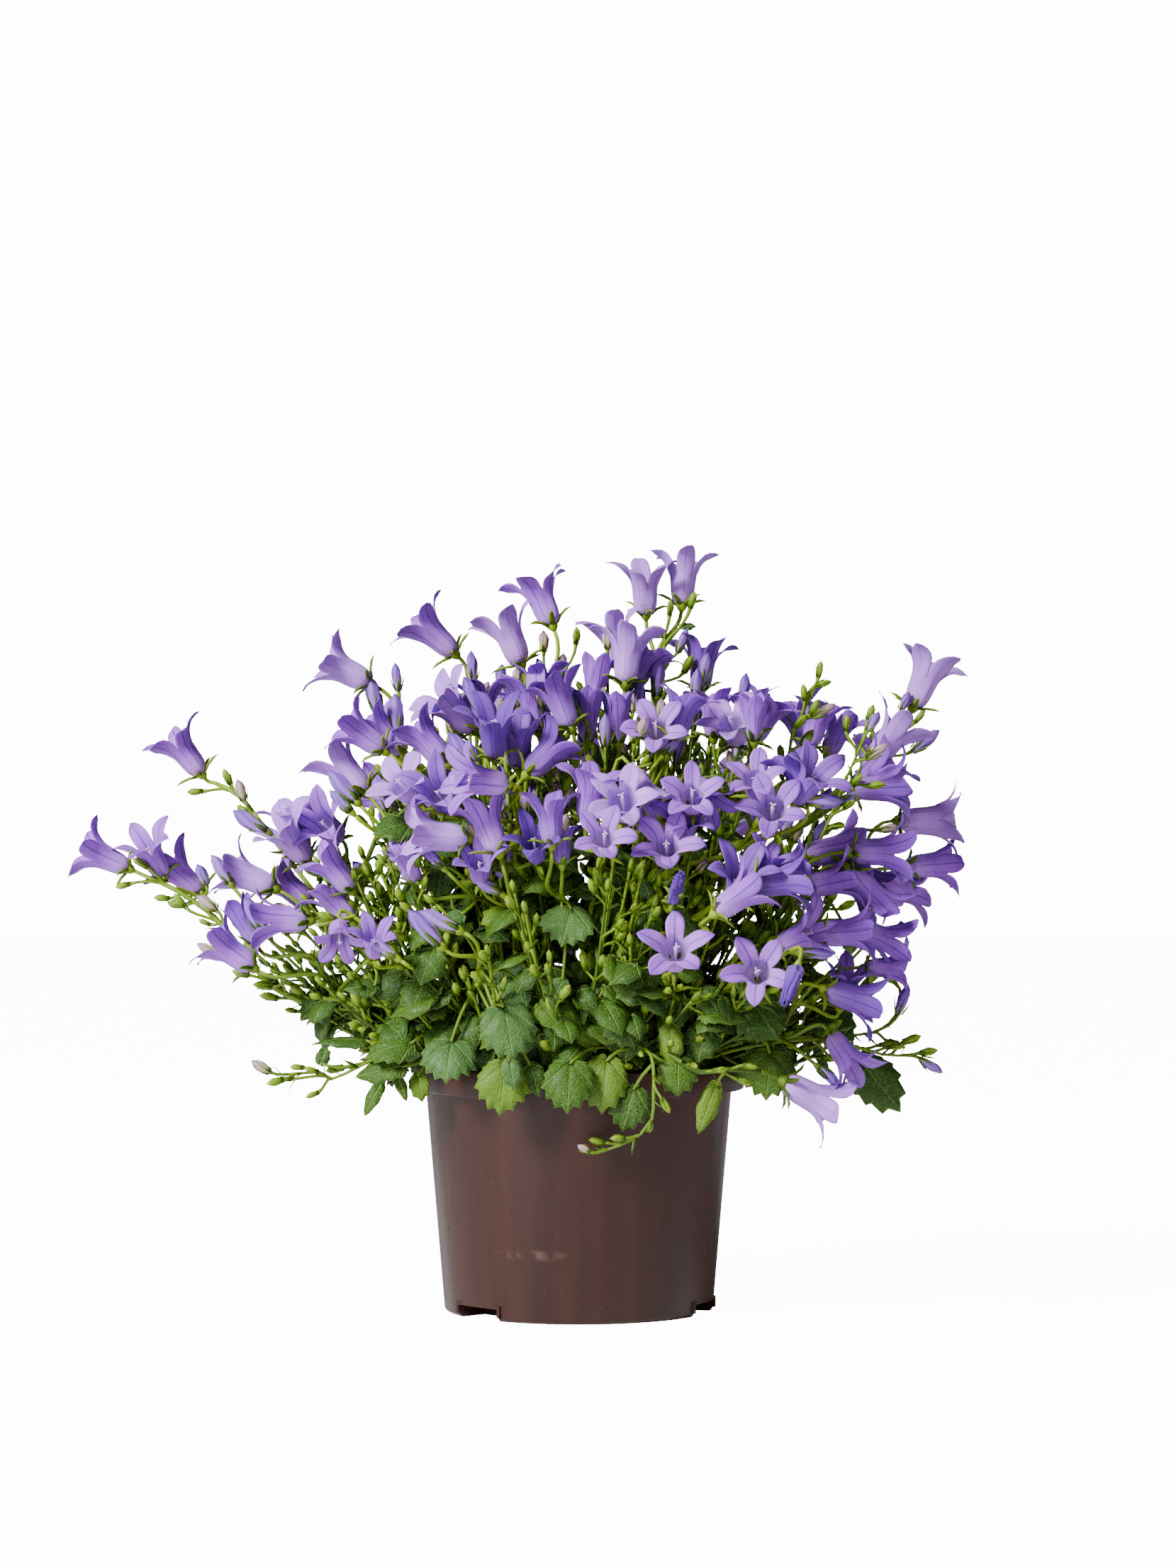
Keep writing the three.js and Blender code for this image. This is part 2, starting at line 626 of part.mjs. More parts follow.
// Main stems: the farthest forks are reached from the crown, nearer ones may branch from those.
function mainStems(bunches) {
  const stems = [];
  for (const crown of CROWNS) {
    const top = crownTop(crown, CROWN.high - 3);
    const jobs = bunches.map(forkOf).filter((job) => job.crown === crown);
    jobs.sort((a, b) => length(sub(b.fork, top)) - length(sub(a.fork, top)));
    const along = [];
    const keep = (bunch, points, branch) => {
      stems.push({ bunch, crown, points, branch });
      along.push(...samplesOn(points, crown, 5).slice(4));
    };
    for (const shoot of SHOOTS.filter((one) => one.crown === crown.name)) {
      keep(null, [top, ...shoot.way.map(([x, z, y]) => place(x, z, y))], false);
    }
    jobs.forEach(({ bunch, fork, axis }, i) => {
      if (ROUTES[bunch.name]) {
        keep(bunch, [top, ...ROUTES[bunch.name].map(([x, z, y]) => place(x, z, y))], false);
        return;
      }
      const span = length(sub(fork, top));
      let from = null;
      for (const one of along) {
        const way = sub(fork, one.p);
        const off = length(way);
        const turned = dot(way, one.t) / off;
        if (off > 0.62 * span || turned < 0.45 || one.p[2] > fork[2]) continue;
        if (!from || off * (1.6 - turned) < from.cost) from = { ...one, cost: off * (1.6 - turned) };
      }
      const flat = unit([fork[0] - top[0], fork[1] - top[1], 0]);
      const rise = Math.asin(clamp((fork[2] - top[2]) / span, -1, 1));
      let start = top;
      let leave = null;
      if (from) {
        start = from.p;
        leave = unit(add(from.t, unit(sub(fork, start)), 0.6));
      } else {
        const steep = clamp((rise - rad(25)) / rad(50), 0, 1);
        const side = [-flat[1], flat[0], 0];
        const angle = clamp(rise + rad(16), rad(30), rad(86));
        start = add(add(top, flat, 1.9 * (1 - 2 * steep)), side, 1.3 * ((i % 3) - 1));
        leave = add(mul(flat, Math.cos(angle)), [0, 0, 1], Math.sin(angle));
      }
      const reach = unit(add(mul(unit(sub(fork, start)), 0.55), axis, 0.45));
      keep(bunch, arch(start, leave, fork, reach), from !== null);
    });
  }
  return stems;
}

// A flower stalk runs from its stem into the calyx under the bell.
function calyxRings(points, radii, bloom, grow) {
  const cup = add(bloom.base, bloom.axis, -CALYX.cup);
  const rings = tubeRings([...points, cup], [...radii, CALYX.radius].map((r) => r + grow), 3);
  return [...rings, [add(bloom.base, bloom.axis, -CALYX.gap + grow)]];
}

function stalkSolid(start, bloom, grow) {
  return solid(loft(calyxRings([start], [STEM.root], bloom, grow)));
}

// The place that the stalk of the bloom with this number leaves its stem at, lower for each.
function stalkStart(stem, number) {
  let left = 3.2 * number;
  for (let i = stem.points.length - 1; i > 0; i -= 1) {
    const span = length(sub(stem.points[i], stem.points[i - 1]));
    if (left < span) return mix(stem.points[i], stem.points[i - 1], left / span);
    left -= span;
  }
  return stem.points[1];
}

// The main stem runs on as the stalk of the first bloom of its bunch.
function stemSolid(stem, grow) {
  const last = stem.points.length - 1;
  const radii = stem.points.map((_, i) => STEM.thick + ((STEM.thin - STEM.thick) * i) / last);
  if (stem.branch) radii[0] = STEM.root * 1.3;
  if (!stem.bunch) return solid(loft(tubeRings(stem.points, radii.map((r) => r + grow), 3)));
  return solid(loft(calyxRings(stem.points, radii, stem.bunch.blooms[0], grow)));
}

// Buds on the stems.

// Buds read by hand: x and z of the calyx, the way each points, its length.
const BUDS = [
  [-126.5, 190.5, 113, 6.5],
  [-121.5, 184.5, 108, 8.5],
  [-136.5, 188, 183, 6],
  [-156.5, 160.5, 150, 6.5],
  [-135, 154, 115, 8.5],
  [-131.5, 145, 145, 9],
  [-143, 146, 128, 6.5],
  [-129.5, 128, 152, 10.5],
  [-163, 154.5, 195, 5.5],
  [-104, 144.5, 165, 8],
  [-109, 122, 120, 5],
  [-77, 176, 140, 5.5],
  [-52, 147, 140, 5.5],
  [-76.5, 138, 138, 7.5],
  [-66, 128, 148, 10.5],
  [-77, 157.5, 135, 7.5],
  [-67, 202, 120, 5],
  [-59, 197, 95, 7.5],
  [-65.5, 224.5, 97, 10.5],
  [-28.5, 225.5, 86, 9],
  [-19.5, 226, 112, 7.5],
  [-1, 241.5, 88, 6.5],
  [33, 252, 85, 6],
  [40.5, 254.5, 75, 6.5],
  [36, 238.5, 68, 9.5],
  [38, 231, 62, 7.5],
  [-7, 191, 105, 6.5],
  [-1, 190, 93, 7.5],
  [23, 176.5, 85, 5],
  [-8, 148, 108, 10],
  [-13.5, 150.5, 122, 7],
  [-12, 135, 132, 7],
  [-2, 128.5, 130, 6.5],
  [43.5, 126.5, 22, 6],
  [0.5, 107, 95, 5],
  [87, 229.5, 80, 6],
  [86, 226.5, 15, 6],
  [82, 221, 95, 6],
  [84, 216, 60, 6],
  [78.5, 211, 50, 6.5],
  [97, 210, 85, 6],
  [105, 214, 70, 6],
  [105, 210, 60, 8],
  [117, 217.5, 65, 7.5],
  [122, 213, 50, 6],
  [121, 202.5, 38, 13],
  [93.5, 188.5, 22, 6.5],
  [105, 190, 5, 6.5],
  [109, 174, 10, 7],
  [58, 138.5, 20, 6.5],
  [116, 107, 72, 11.5],
  [115, 118.5, 145, 6],
  [124, 93, 10, 6.5],
  [124, 91, -33, 9.5],
  [112, 95, 5, 5],
  [93, 91, -2, 6],
  [60, 88.5, -8, 5],
  [49, 86.5, 8, 5],
  [4, 57, 150, 5],
  [17, 62, 180, 5.5],
  [-112, 86, 148, 8],
  [-104.5, 83.5, 180, 5],
  [-100, 87.7, 178, 5],
  [-94.5, 78.7, 202, 5],
];

// Buds up to this length are too small to be solids of their own.
const SMALL_BUD = 8.2;

// How far back a stem may stand that carries a bud which the eye saw.
const FARTHEST_BUD = 45;

// The place on the stems that a stalk to this picture place springs from: near it and below it.
function stemUnder(samples, x, z, turn, back) {
  const aim = [x - back * Math.cos(rad(turn)), z - back * Math.sin(rad(turn))];
  let best = null;
  for (const sample of samples) {
    if (sample.p[1] > FARTHEST_BUD) continue;
    const k = (EYE.distance + sample.p[1]) / EYE.distance;
    const dx = EYE.x + (sample.p[0] - EYE.x) / k - aim[0];
    const dz = EYE.z + (sample.p[2] - EYE.z) / k - aim[1];
    const cost = Math.hypot(dx, dz) + (dz > 2 ? 12 : 0);
    if (!best || cost < best.cost) best = { cost, ...sample };
  }
  return best;
}

function budLayout(samples) {
  return BUDS.map(([x, z, turn, long]) => {
    const from = stemUnder(samples, x, z, turn, 8);
    return { from, base: place(x, z, from.p[1] - 1), axis: axisOf(turn, 8), long };
  });
}

function budSolid(bud, grow) {
  const { from, base, axis, long } = bud;
  const fat = long * (long > 9 ? 0.19 : 0.24);
  const at = [from.p, base, add(base, axis, long * 0.5)];
  const radii = [STEM.root, STEM.pedicel + 0.1, fat].map((r) => r + grow);
  return solid(loft([...tubeRings(at, radii, 3), [add(base, axis, long + grow)]]));
}

// Leaves.

// Leaves read by hand: x and z of the middle, the way the tip points, length, width to length,
// lean (0 faces the eye, 90 faces up), depth, how many points its edge has.
const LEAVES = [
  [-24, 114.5, -120, 15, 1, 25, -62, 7],
  [-26, 103, -80, 21, 1, 20, -68, 7],
  [-27.5, 82.5, -95, 19, 1.05, 18, -67, 7],
  [-24.5, 86.5, -80, 11, 0.7, 15, -72, 5],
  [-16.5, 84.5, -75, 12, 0.8, 10, -65, 5],
  [-3.5, 83, -93, 19, 1.02, 18, -71, 7],
  [9.5, 83.5, -95, 20, 0.85, 12, -65.5, 7],
  [18.5, 74.5, -105, 16, 1, 10, -64.5, 7],
  [16, 104, -70, 17, 1, 30, -60, 7],
  [3.5, 102, -75, 15, 0.9, 20, -55, 5],
  [-7, 117, -110, 9, 0.85, 25, -66, 5],
  [36, 86, -90, 14, 1.1, 15, -63, 5],
  [33.5, 98, -85, 16, 0.6, 20, -60, 5],
  [47.5, 75, -110, 19, 0.42, 10, -61, 5],
  [-9, 101, -90, 12, 0.75, 20, -61, 5],
  [-4, 141, -100, 17, 1.25, 40, -62, 7],
  [-20, 146, -70, 10, 0.9, 30, -54, 5],
  [-28, 143, -150, 13, 0.9, 40, -58, 5],
  [25, 142, -90, 13, 0.9, 25, -56, 5],
  [24, 153, -70, 8, 0.8, 25, -54, 5],
  [-66, 175.5, -155, 15, 0.95, 40, -50, 7],
  [-50, 157, -100, 13, 0.95, 25, -46, 5],
  [-45, 142, -140, 9, 0.8, 35, -66, 5],
  [3, 152, -20, 10, 0.8, 40, -50, 5],
  [-47, 92, -95, 17, 1.25, 30, -56, 7],
  [-67, 95, -160, 18, 0.75, 40, -46, 7],
  [-70, 87, -168, 18, 0.55, 35, -46, 5],
  [-84, 97.5, 180, 21, 0.45, 75, -22, 5],
  [-74, 78, -115, 14, 0.4, 10, -30, 5],
  [-65, 82, -70, 11, 0.4, 15, -44, 5],
  [-58, 81.5, -80, 10, 0.8, 15, -42, 5],
  [-58, 115, -110, 15, 0.95, 30, -50, 5],
  [-78, 117, -170, 12, 0.8, 45, -34, 5],
  [-96, 110, -120, 13, 0.7, 40, -4, 5],
  [-93, 91.5, 70, 7, 0.8, 15, -25, 5],
  [69, 87, -95, 18, 1.15, 15, -46, 7],
  [107, 84, -52, 25, 0.75, 20, -30, 7],
  [93, 104, -80, 18, 0.9, 30, -30, 5],
  [65, 108, -60, 21, 1, 30, -52, 7],
  [47, 113, -60, 12, 0.9, 25, -60, 5],
  [51, 107, -5, 17, 0.55, 50, -62, 5],
  [45, 98, -100, 14, 1, 20, -56, 5],
  [86, 118, -60, 12, 0.9, 30, -36, 5],
  [98, 135, -80, 10, 0.7, 20, -56, 5],
  [29, 245, 175, 6, 0.6, 30, 27, 5],
  [39, 248, 0, 6, 0.6, 30, 27, 5],
];

// Leaves of the far side and flanks, which the eye did not see, by a rule round the pot:
// bearing, height and distance of the middle, all drawn from the leaf's number.
const HIDDEN_LEAVES = 9;
// Leaves up to this length are too small to be solids of their own.
const SMALL_LEAF = 12.5;

function leafFrame(middle, tip, normal, long, wide, points) {
  const n = unit(normal);
  const d = unit(sub(tip, mul(n, dot(tip, n))));
  return { middle, d, n, s: cross(n, d), long, wide, points, notch: add(middle, d, -0.36 * long) };
}

function leafLayout() {
  const seen = LEAVES.map(([x, z, turn, long, wide, lean, y, points]) => {
    const normal = [0, -Math.cos(rad(lean)), Math.sin(rad(lean))];
    return leafFrame(place(x, z, y), axisOf(turn, 0), normal, long, wide, points);
  });
  const hidden = Array.from({ length: HIDDEN_LEAVES }, (_, i) => {
    const low = i % 2;
    const bearing = rad(-25 + (230 * (i + 0.5)) / HIDDEN_LEAVES);
    const out = low ? 64 + 10 * draw(i, 1) : 50 + 12 * draw(i, 2);
    const z = low ? 86 + 8 * draw(i, 3) : 104 + 22 * draw(i, 4);
    const way = [Math.cos(bearing), Math.sin(bearing), 0];
    const lean = rad(low ? 25 : 45);
    const normal = add(mul(way, Math.cos(lean)), [0, 0, 1], Math.sin(lean));
    const tip = add([0, 0, -1], cross(way, [0, 0, 1]), 0.9 * (draw(i, 5) - 0.5));
    return leafFrame(add([0, 0, z], way, out), tip, normal, 14 + 6 * draw(i, 7), 1, 5);
  });
  return [...seen, ...hidden];
}

// A toothed blade with its stalk: tips and hollows round the middle, the stalk from the notch.
function leafSolid(leaf, path, grow) {
  const { middle, d, n, s, long, wide, points } = leaf;
  const half = LEAF.blade / 2 + grow;
  const mesh = { v: [], f: [] };
  const put = (along, across, up) => mesh.v.push(add(add(add(middle, d, along), s, across), n, up)) - 1;
  const rim = (share, reach) => {
    const t = Math.PI * share;
    const out = reach * (0.5 + 0.07 * Math.cos(t)) * long + grow;
    const sag = LEAF.dome * long * (0.35 + 0.65 * Math.abs(share));
    return [out * Math.cos(t) + 0.04 * long, out * Math.sin(t) * wide, -sag];
  };
  const top = put(0, 0, half);
  const under = put(0, 0, -half);
  const back = -0.36 * long;
  const hollows = [[put(back, 0, half), put(back, 0, -half)]];
  const tips = [];
  for (let k = 0; k < points; k += 1) {
    const share = (2 * k) / points - 1;
    if (k > 0) {
      const [x, y, z] = rim(share, 0.8);
      hollows.push([put(x, y, z + half), put(x, y, z - half)]);
    }
    const [x, y, z] = rim(share + 1 / points, 1);
    tips.push(put(x, y, z * 1.15));
  }
  const [left, right] = [-1, 1].map((side) => put(back, side * (STEM.petiole * 0.8 + grow), 0));
  for (let k = 0; k < points; k += 1) {
    const [a, A] = hollows[k];
    const [b, B] = hollows[(k + 1) % points];
    const t = tips[k];
    mesh.f.push([top, a, t], [top, t, b], [under, t, A], [under, B, t]);
    if (k === 0) mesh.f.push([a, left, t], [left, A, t]);
    else mesh.f.push([a, A, t]);
    if (k === points - 1) mesh.f.push([t, B, right], [t, right, b]);
    else mesh.f.push([t, B, b]);
  }
  const [a, A] = hollows[0];
  const radii = [STEM.petiole, ...path.map((_, i) => (i < path.length - 1 ? STEM.petiole : STEM.root))];
  const rings = tubeRings([leaf.notch, ...path], radii.map((r) => r + grow), 3, n);
  extend(mesh, [a, right, A, left], rings.slice(1));
  return solid(mesh);
}

// What a stalk pays for a way that runs under the rim of the pot: more than any other way costs.
const UNDER_RIM = 200;

// The way of a leaf's stalk back from its notch: over the rim where it must, to the nearest stem
// or stalk that is there already.
function stalkOfLeaf(leaf, samples) {
  const { notch, d } = leaf;
  let best = null;
  for (const one of samples) {
    const way = sub(one.p, notch);
    const off = length(way);
    if (off < 5) continue;
    const behind = dot(way, d) / off;
    const underRim = one.p[2] < 90 && Math.hypot(one.p[0], one.p[1]) > 40;
    const cost = off * (1.5 + 0.5 * behind) + (underRim ? UNDER_RIM : 0);
    if (!best || cost < best.cost) best = { ...one, cost };
  }
  const out = Math.hypot(notch[0], notch[1]);
  const home = Math.hypot(best.p[0], best.p[1]);
  const path = [add(mix(notch, best.p, 0.4), d, -0.1 * length(sub(best.p, notch)))];
  if (notch[2] < 93.5 && out > 60 && home < 61.5) {
    path[0] = add([0, 0, 95], unit([notch[0], notch[1], 0]), clamp(out - 1, 62, 64));
  }
  path.push(best.p);
  return { crown: best.crown, path };
}

// Pot and soil.

// A block that stands at a bearing (0 is the front, turning towards +X).
function blockAt(bearing, near, far, half, low, high) {
  const t = rad(bearing - 90);
  const out = [Math.cos(t), Math.sin(t), 0];
  const side = [-out[1], out[0], 0];
  const corner = (r, w, z) => add(add([0, 0, z], out, r), side, w);
  const corners = [[near, -half], [far, -half], [far, half], [near, half]];
  const level = (z) => corners.map(([r, w]) => corner(r, w, z));
  return solid(loft([level(low), level(high)]));
}

function housing(bearing, grow) {
  const far = POT.foot - POT.wall + 1 + grow;
  return blockAt(bearing, POCKET.inner - POCKET.wall - grow, far, POCKET.half + POCKET.wall + grow,
    POT.floor - 1, POCKET.height + POCKET.wall + grow);
}

function potSolid() {
  const inside = POT.rim - 1.7;
  const outside = [
    [0, 0], [POT.foot - 1.2, 0], [POT.foot, 1.7],
    [POT.shoulder, POT.rimLow - 0.6], [POT.rim - 0.3, POT.rimLow],
    [POT.rim, POT.top - 0.9], [POT.rim - 0.8, POT.top],
  ];
  const within = [
    [inside, POT.top - 0.4], [inside, POT.rimLow + 1.6],
    [POT.shoulder - POT.wall, POT.rimLow + 0.8],
    [POT.foot - POT.wall, POT.floor], [0, POT.floor],
  ];
  let pot = revolved([...outside, ...within], POT.sides);
  for (const bearing of POCKET.angles) pot = pot.add(housing(bearing, 0));
  const { inner, outer, half, height, slot } = POCKET;
  for (const bearing of POCKET.angles) {
    pot = pot.subtract(blockAt(bearing, inner, outer, half, -1, height));
    pot = pot.subtract(blockAt(bearing, inner - 4, inner + 1, slot, POT.floor, height - 0.2));
  }
  return pot;
}

function soilSolid() {
  const slope = (POT.shoulder - POT.foot) / (POT.rimLow - POT.floor);
  const low = POT.floor + SOIL.gap;
  const edge = (z) => POT.foot - POT.wall - SOIL.gap + slope * (z - POT.floor);
  const outline = [[0, low], [edge(low), low], [edge(SOIL.edge), SOIL.edge], [0, SOIL.middle]];
  let soil = revolved(outline, POT.sides);
  for (const bearing of POCKET.angles) soil = soil.subtract(housing(bearing, SOIL.gap));
  for (const crown of CROWNS) soil = soil.subtract(crownRoot(crown, CROWN.gap));
  return soil;
}

function crownRoot(crown, grow) {
  const points = [CROWN.low - grow, CROWN.high - 1, CROWN.high + 1].map((z) => crownTop(crown, z));
  const radii = [CROWN.radius + grow, CROWN.radius + grow, CROWN.radius * 0.6 + grow];
  return solid(loft(tubeRings(points, radii, CROWN.sides)));
}

// Putting the plant together.

const union = (solids) => solids.reduce((a, b) => a.add(b));

function boxesMeet(a, b) {
  const [p, q] = [a.boundingBox(), b.boundingBox()];
  return [0, 1, 2].every((i) => p.min[i] < q.max[i] && q.min[i] < p.max[i]);
}

// What is left of a solid when the others are taken out of it; untouched where they miss it.
function clear(piece, others) {
  let left = piece;
  for (const other of others) {
    if (boxesMeet(left, other) && !left.intersect(other).isEmpty()) left = left.subtract(other);
  }
  return left;
}

function largest(piece) {
  return piece.decompose().reduce((a, b) => (b.volume() > a.volume() ? b : a));
}

// Leaves below this height may carry the stalk of another one.
const LOW_LEAF = 125;

// Everything that is green, read off the layout before anything is solid.
function layout() {
  const bunches = allBunches();
  const stems = mainStems(bunches);
  const samples = stems.flatMap((stem) => samplesOn(stem.points, stem.crown, 4).slice(5));
  const buds = budLayout(samples);
  const leaves = leafLayout().map((leaf) => {
    const stalk = stalkOfLeaf(leaf, samples);
    if (leaf.middle[2] < LOW_LEAF) {
      const back = [...stalk.path].reverse();
      samples.push(...samplesOn(back, stalk.crown, 5).slice(3));
    }
    return { ...leaf, ...stalk };
  });
  return { bunches, stems, buds, leaves };
}

// Stems, flower stalks and larger buds of one crown, as functions of how much they are grown by.
function clumpMakers(crown, stems, buds) {
  const makers = [(grow) => crownRoot(crown, grow)];
  for (const stem of stems.filter((one) => one.crown === crown)) {
    makers.push((grow) => stemSolid(stem, grow));
    const rest = stem.bunch ? stem.bunch.blooms.slice(1) : [];
    rest.forEach((bloom, i) => {
      if (bloom.kind === "P") return;
      makers.push((grow) => stalkSolid(stalkStart(stem, i + 1), bloom, grow));
    });
  }
  for (const bud of buds.filter((one) => one.from.crown === crown && one.long > SMALL_BUD)) {
    makers.push((grow) => budSolid(bud, grow));
  }
  return makers;
}

function plant() {
  const { bunches, stems, buds, leaves } = layout();
  const clumps = CROWNS.map((crown) => {
    const makers = clumpMakers(crown, stems, buds);
    const grown = union(makers.map((make) => make(CLEAR)));
    return { name: crown.name, crown, whole: union(makers.map((make) => make(0))), grown };
  });
  for (let i = 1; i < clumps.length; i += 1) {
    clumps[i].whole = largest(clear(clumps[i].whole, clumps.slice(0, i).map((one) => one.grown)));
  }
  const petals = [];
  for (const bunch of bunches) {
    const around = [...clumps.map((one) => one.grown), ...petals.map((one) => one.grown)];
    const whole = largest(clear(union(bunch.blooms.map((bloom) => bloomSolid(bloom, 0))), around));
    const grown = union(bunch.blooms.map((bloom) => bloomSolid(bloom, CLEAR))).add(whole);
    petals.push({ name: `bells_${bunch.name}`, whole, grown });
  }
  const pot = potSolid();
  const blades = [];
  for (const leaf of leaves.filter((one) => one.long > SMALL_LEAF)) {
    const home = clumps.find((one) => one.crown === leaf.crown);
    const others = clumps.filter((one) => one !== home).map((one) => one.grown);
    const before = blades.filter((one) => one.home !== home).map((one) => one.grown);
    const around = [...others, ...before, ...petals.map((one) => one.grown)];
    const cut = largest(clear(leafSolid(leaf, leaf.path, 0), around));
    blades.push({ home, cut, grown: leafSolid(leaf, leaf.path, CLEAR) });
  }
  for (const clump of clumps) {
    const mine = blades.filter((one) => one.home === clump).map((one) => one.cut);
    clump.whole = largest(union([clump.whole, ...mine]));
  }
  return { clumps, petals, pot, soil: soilSolid() };
}

// Nodes.

// The plain colour and roughness of each kind of node.
const COLOURS = {
  pot: [0x5a3c33, 0.42],
  soil: [0x2f2723, 0.95],
  petals: [0x9a8fd0, 0.6],
  shaded: [0x8478c0, 0.6],
  green: [0x5f8c4e, 0.65],
};

function node(name, whole, [colour, roughness]) {
  const { vertProperties, triVerts } = whole.getMesh();
  const geometry = new THREE.BufferGeometry();
  geometry.setAttribute("position", new THREE.BufferAttribute(new Float32Array(vertProperties), 3));
  geometry.setIndex(new THREE.BufferAttribute(new Uint32Array(triVerts), 1));
  geometry.computeVertexNormals();
  const finish = new THREE.MeshStandardMaterial({ color: colour, roughness, metalness: 0 });
  const mesh = new THREE.Mesh(geometry, finish);
  mesh.name = name;
  return mesh;
}

function pottedPlant() {
  const { clumps, petals, pot, soil } = plant();
  const group = new THREE.Group();
  group.name = "potted_dalmatian_bellflower";
  group.add(node("pot", pot, COLOURS.pot), node("soil", soil, COLOURS.soil));
  for (const clump of clumps) group.add(node(clump.name, clump.whole, COLOURS.green));
  petals.forEach((one, i) => {
    group.add(node(one.name, one.whole, i % 3 ? COLOURS.petals : COLOURS.shaded));
  });
  return group;
}

export default pottedPlant();
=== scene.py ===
"""Looks of a potted dalmatian bellflower: violet bells on leafy stems in a brown nursery pot.

The layout repeats the one of the part's solids, in millimetres: the bells, stems, buds and leaves
stand where the solids have them. A piece turns to metres when its mesh is made.
"""
import json
import math

import bpy
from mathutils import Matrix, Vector
import numpy as np

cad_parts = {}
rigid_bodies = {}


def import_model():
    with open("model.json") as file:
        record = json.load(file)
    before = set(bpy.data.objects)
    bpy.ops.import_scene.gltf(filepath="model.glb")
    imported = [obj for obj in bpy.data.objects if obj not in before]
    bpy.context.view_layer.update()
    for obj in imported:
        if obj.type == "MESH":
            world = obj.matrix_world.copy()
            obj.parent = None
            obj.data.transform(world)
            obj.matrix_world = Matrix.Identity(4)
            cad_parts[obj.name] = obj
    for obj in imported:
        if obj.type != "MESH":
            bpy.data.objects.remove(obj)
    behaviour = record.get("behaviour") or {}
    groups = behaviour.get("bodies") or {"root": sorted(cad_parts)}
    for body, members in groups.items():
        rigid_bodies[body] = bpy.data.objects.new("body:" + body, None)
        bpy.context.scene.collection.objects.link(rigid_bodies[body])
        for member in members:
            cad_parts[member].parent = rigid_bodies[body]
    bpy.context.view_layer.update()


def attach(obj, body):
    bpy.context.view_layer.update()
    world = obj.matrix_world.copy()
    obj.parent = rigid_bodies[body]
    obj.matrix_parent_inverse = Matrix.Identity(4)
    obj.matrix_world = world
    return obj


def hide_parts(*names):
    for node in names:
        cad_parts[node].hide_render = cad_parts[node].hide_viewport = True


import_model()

MM = 0.001
BODY = "root"

# Driving sizes of the plant, as in its solids.
BELL_TUBE = 13
BUD_LENGTH = 14.5
STEM = {"thick": 1.15, "thin": 0.9, "stalk": 0.72, "petiole": 0.7}
LEAF_DOME = 0.13
CROWN_HIGH = 86
# The height in a crown that its stems start from, and that its small leaves' stalks start from.
STEM_FOOT, LEAF_FOOT = CROWN_HIGH - 3, CROWN_HIGH - 1
HIDDEN_LEAVES = 9
FARTHEST_BUD = 45
LOBES_A_BELL = 5

# Where the listed places were looked at from: picture places are in the plane y = 0. The
# picture is this many pixels high, and a pixel is this many millimetres wide in that plane.
EYE = {"x": 3.35, "z": 190.7, "distance": 1600}
PICTURE_HEIGHT = 2212
PIXEL = 0.2575

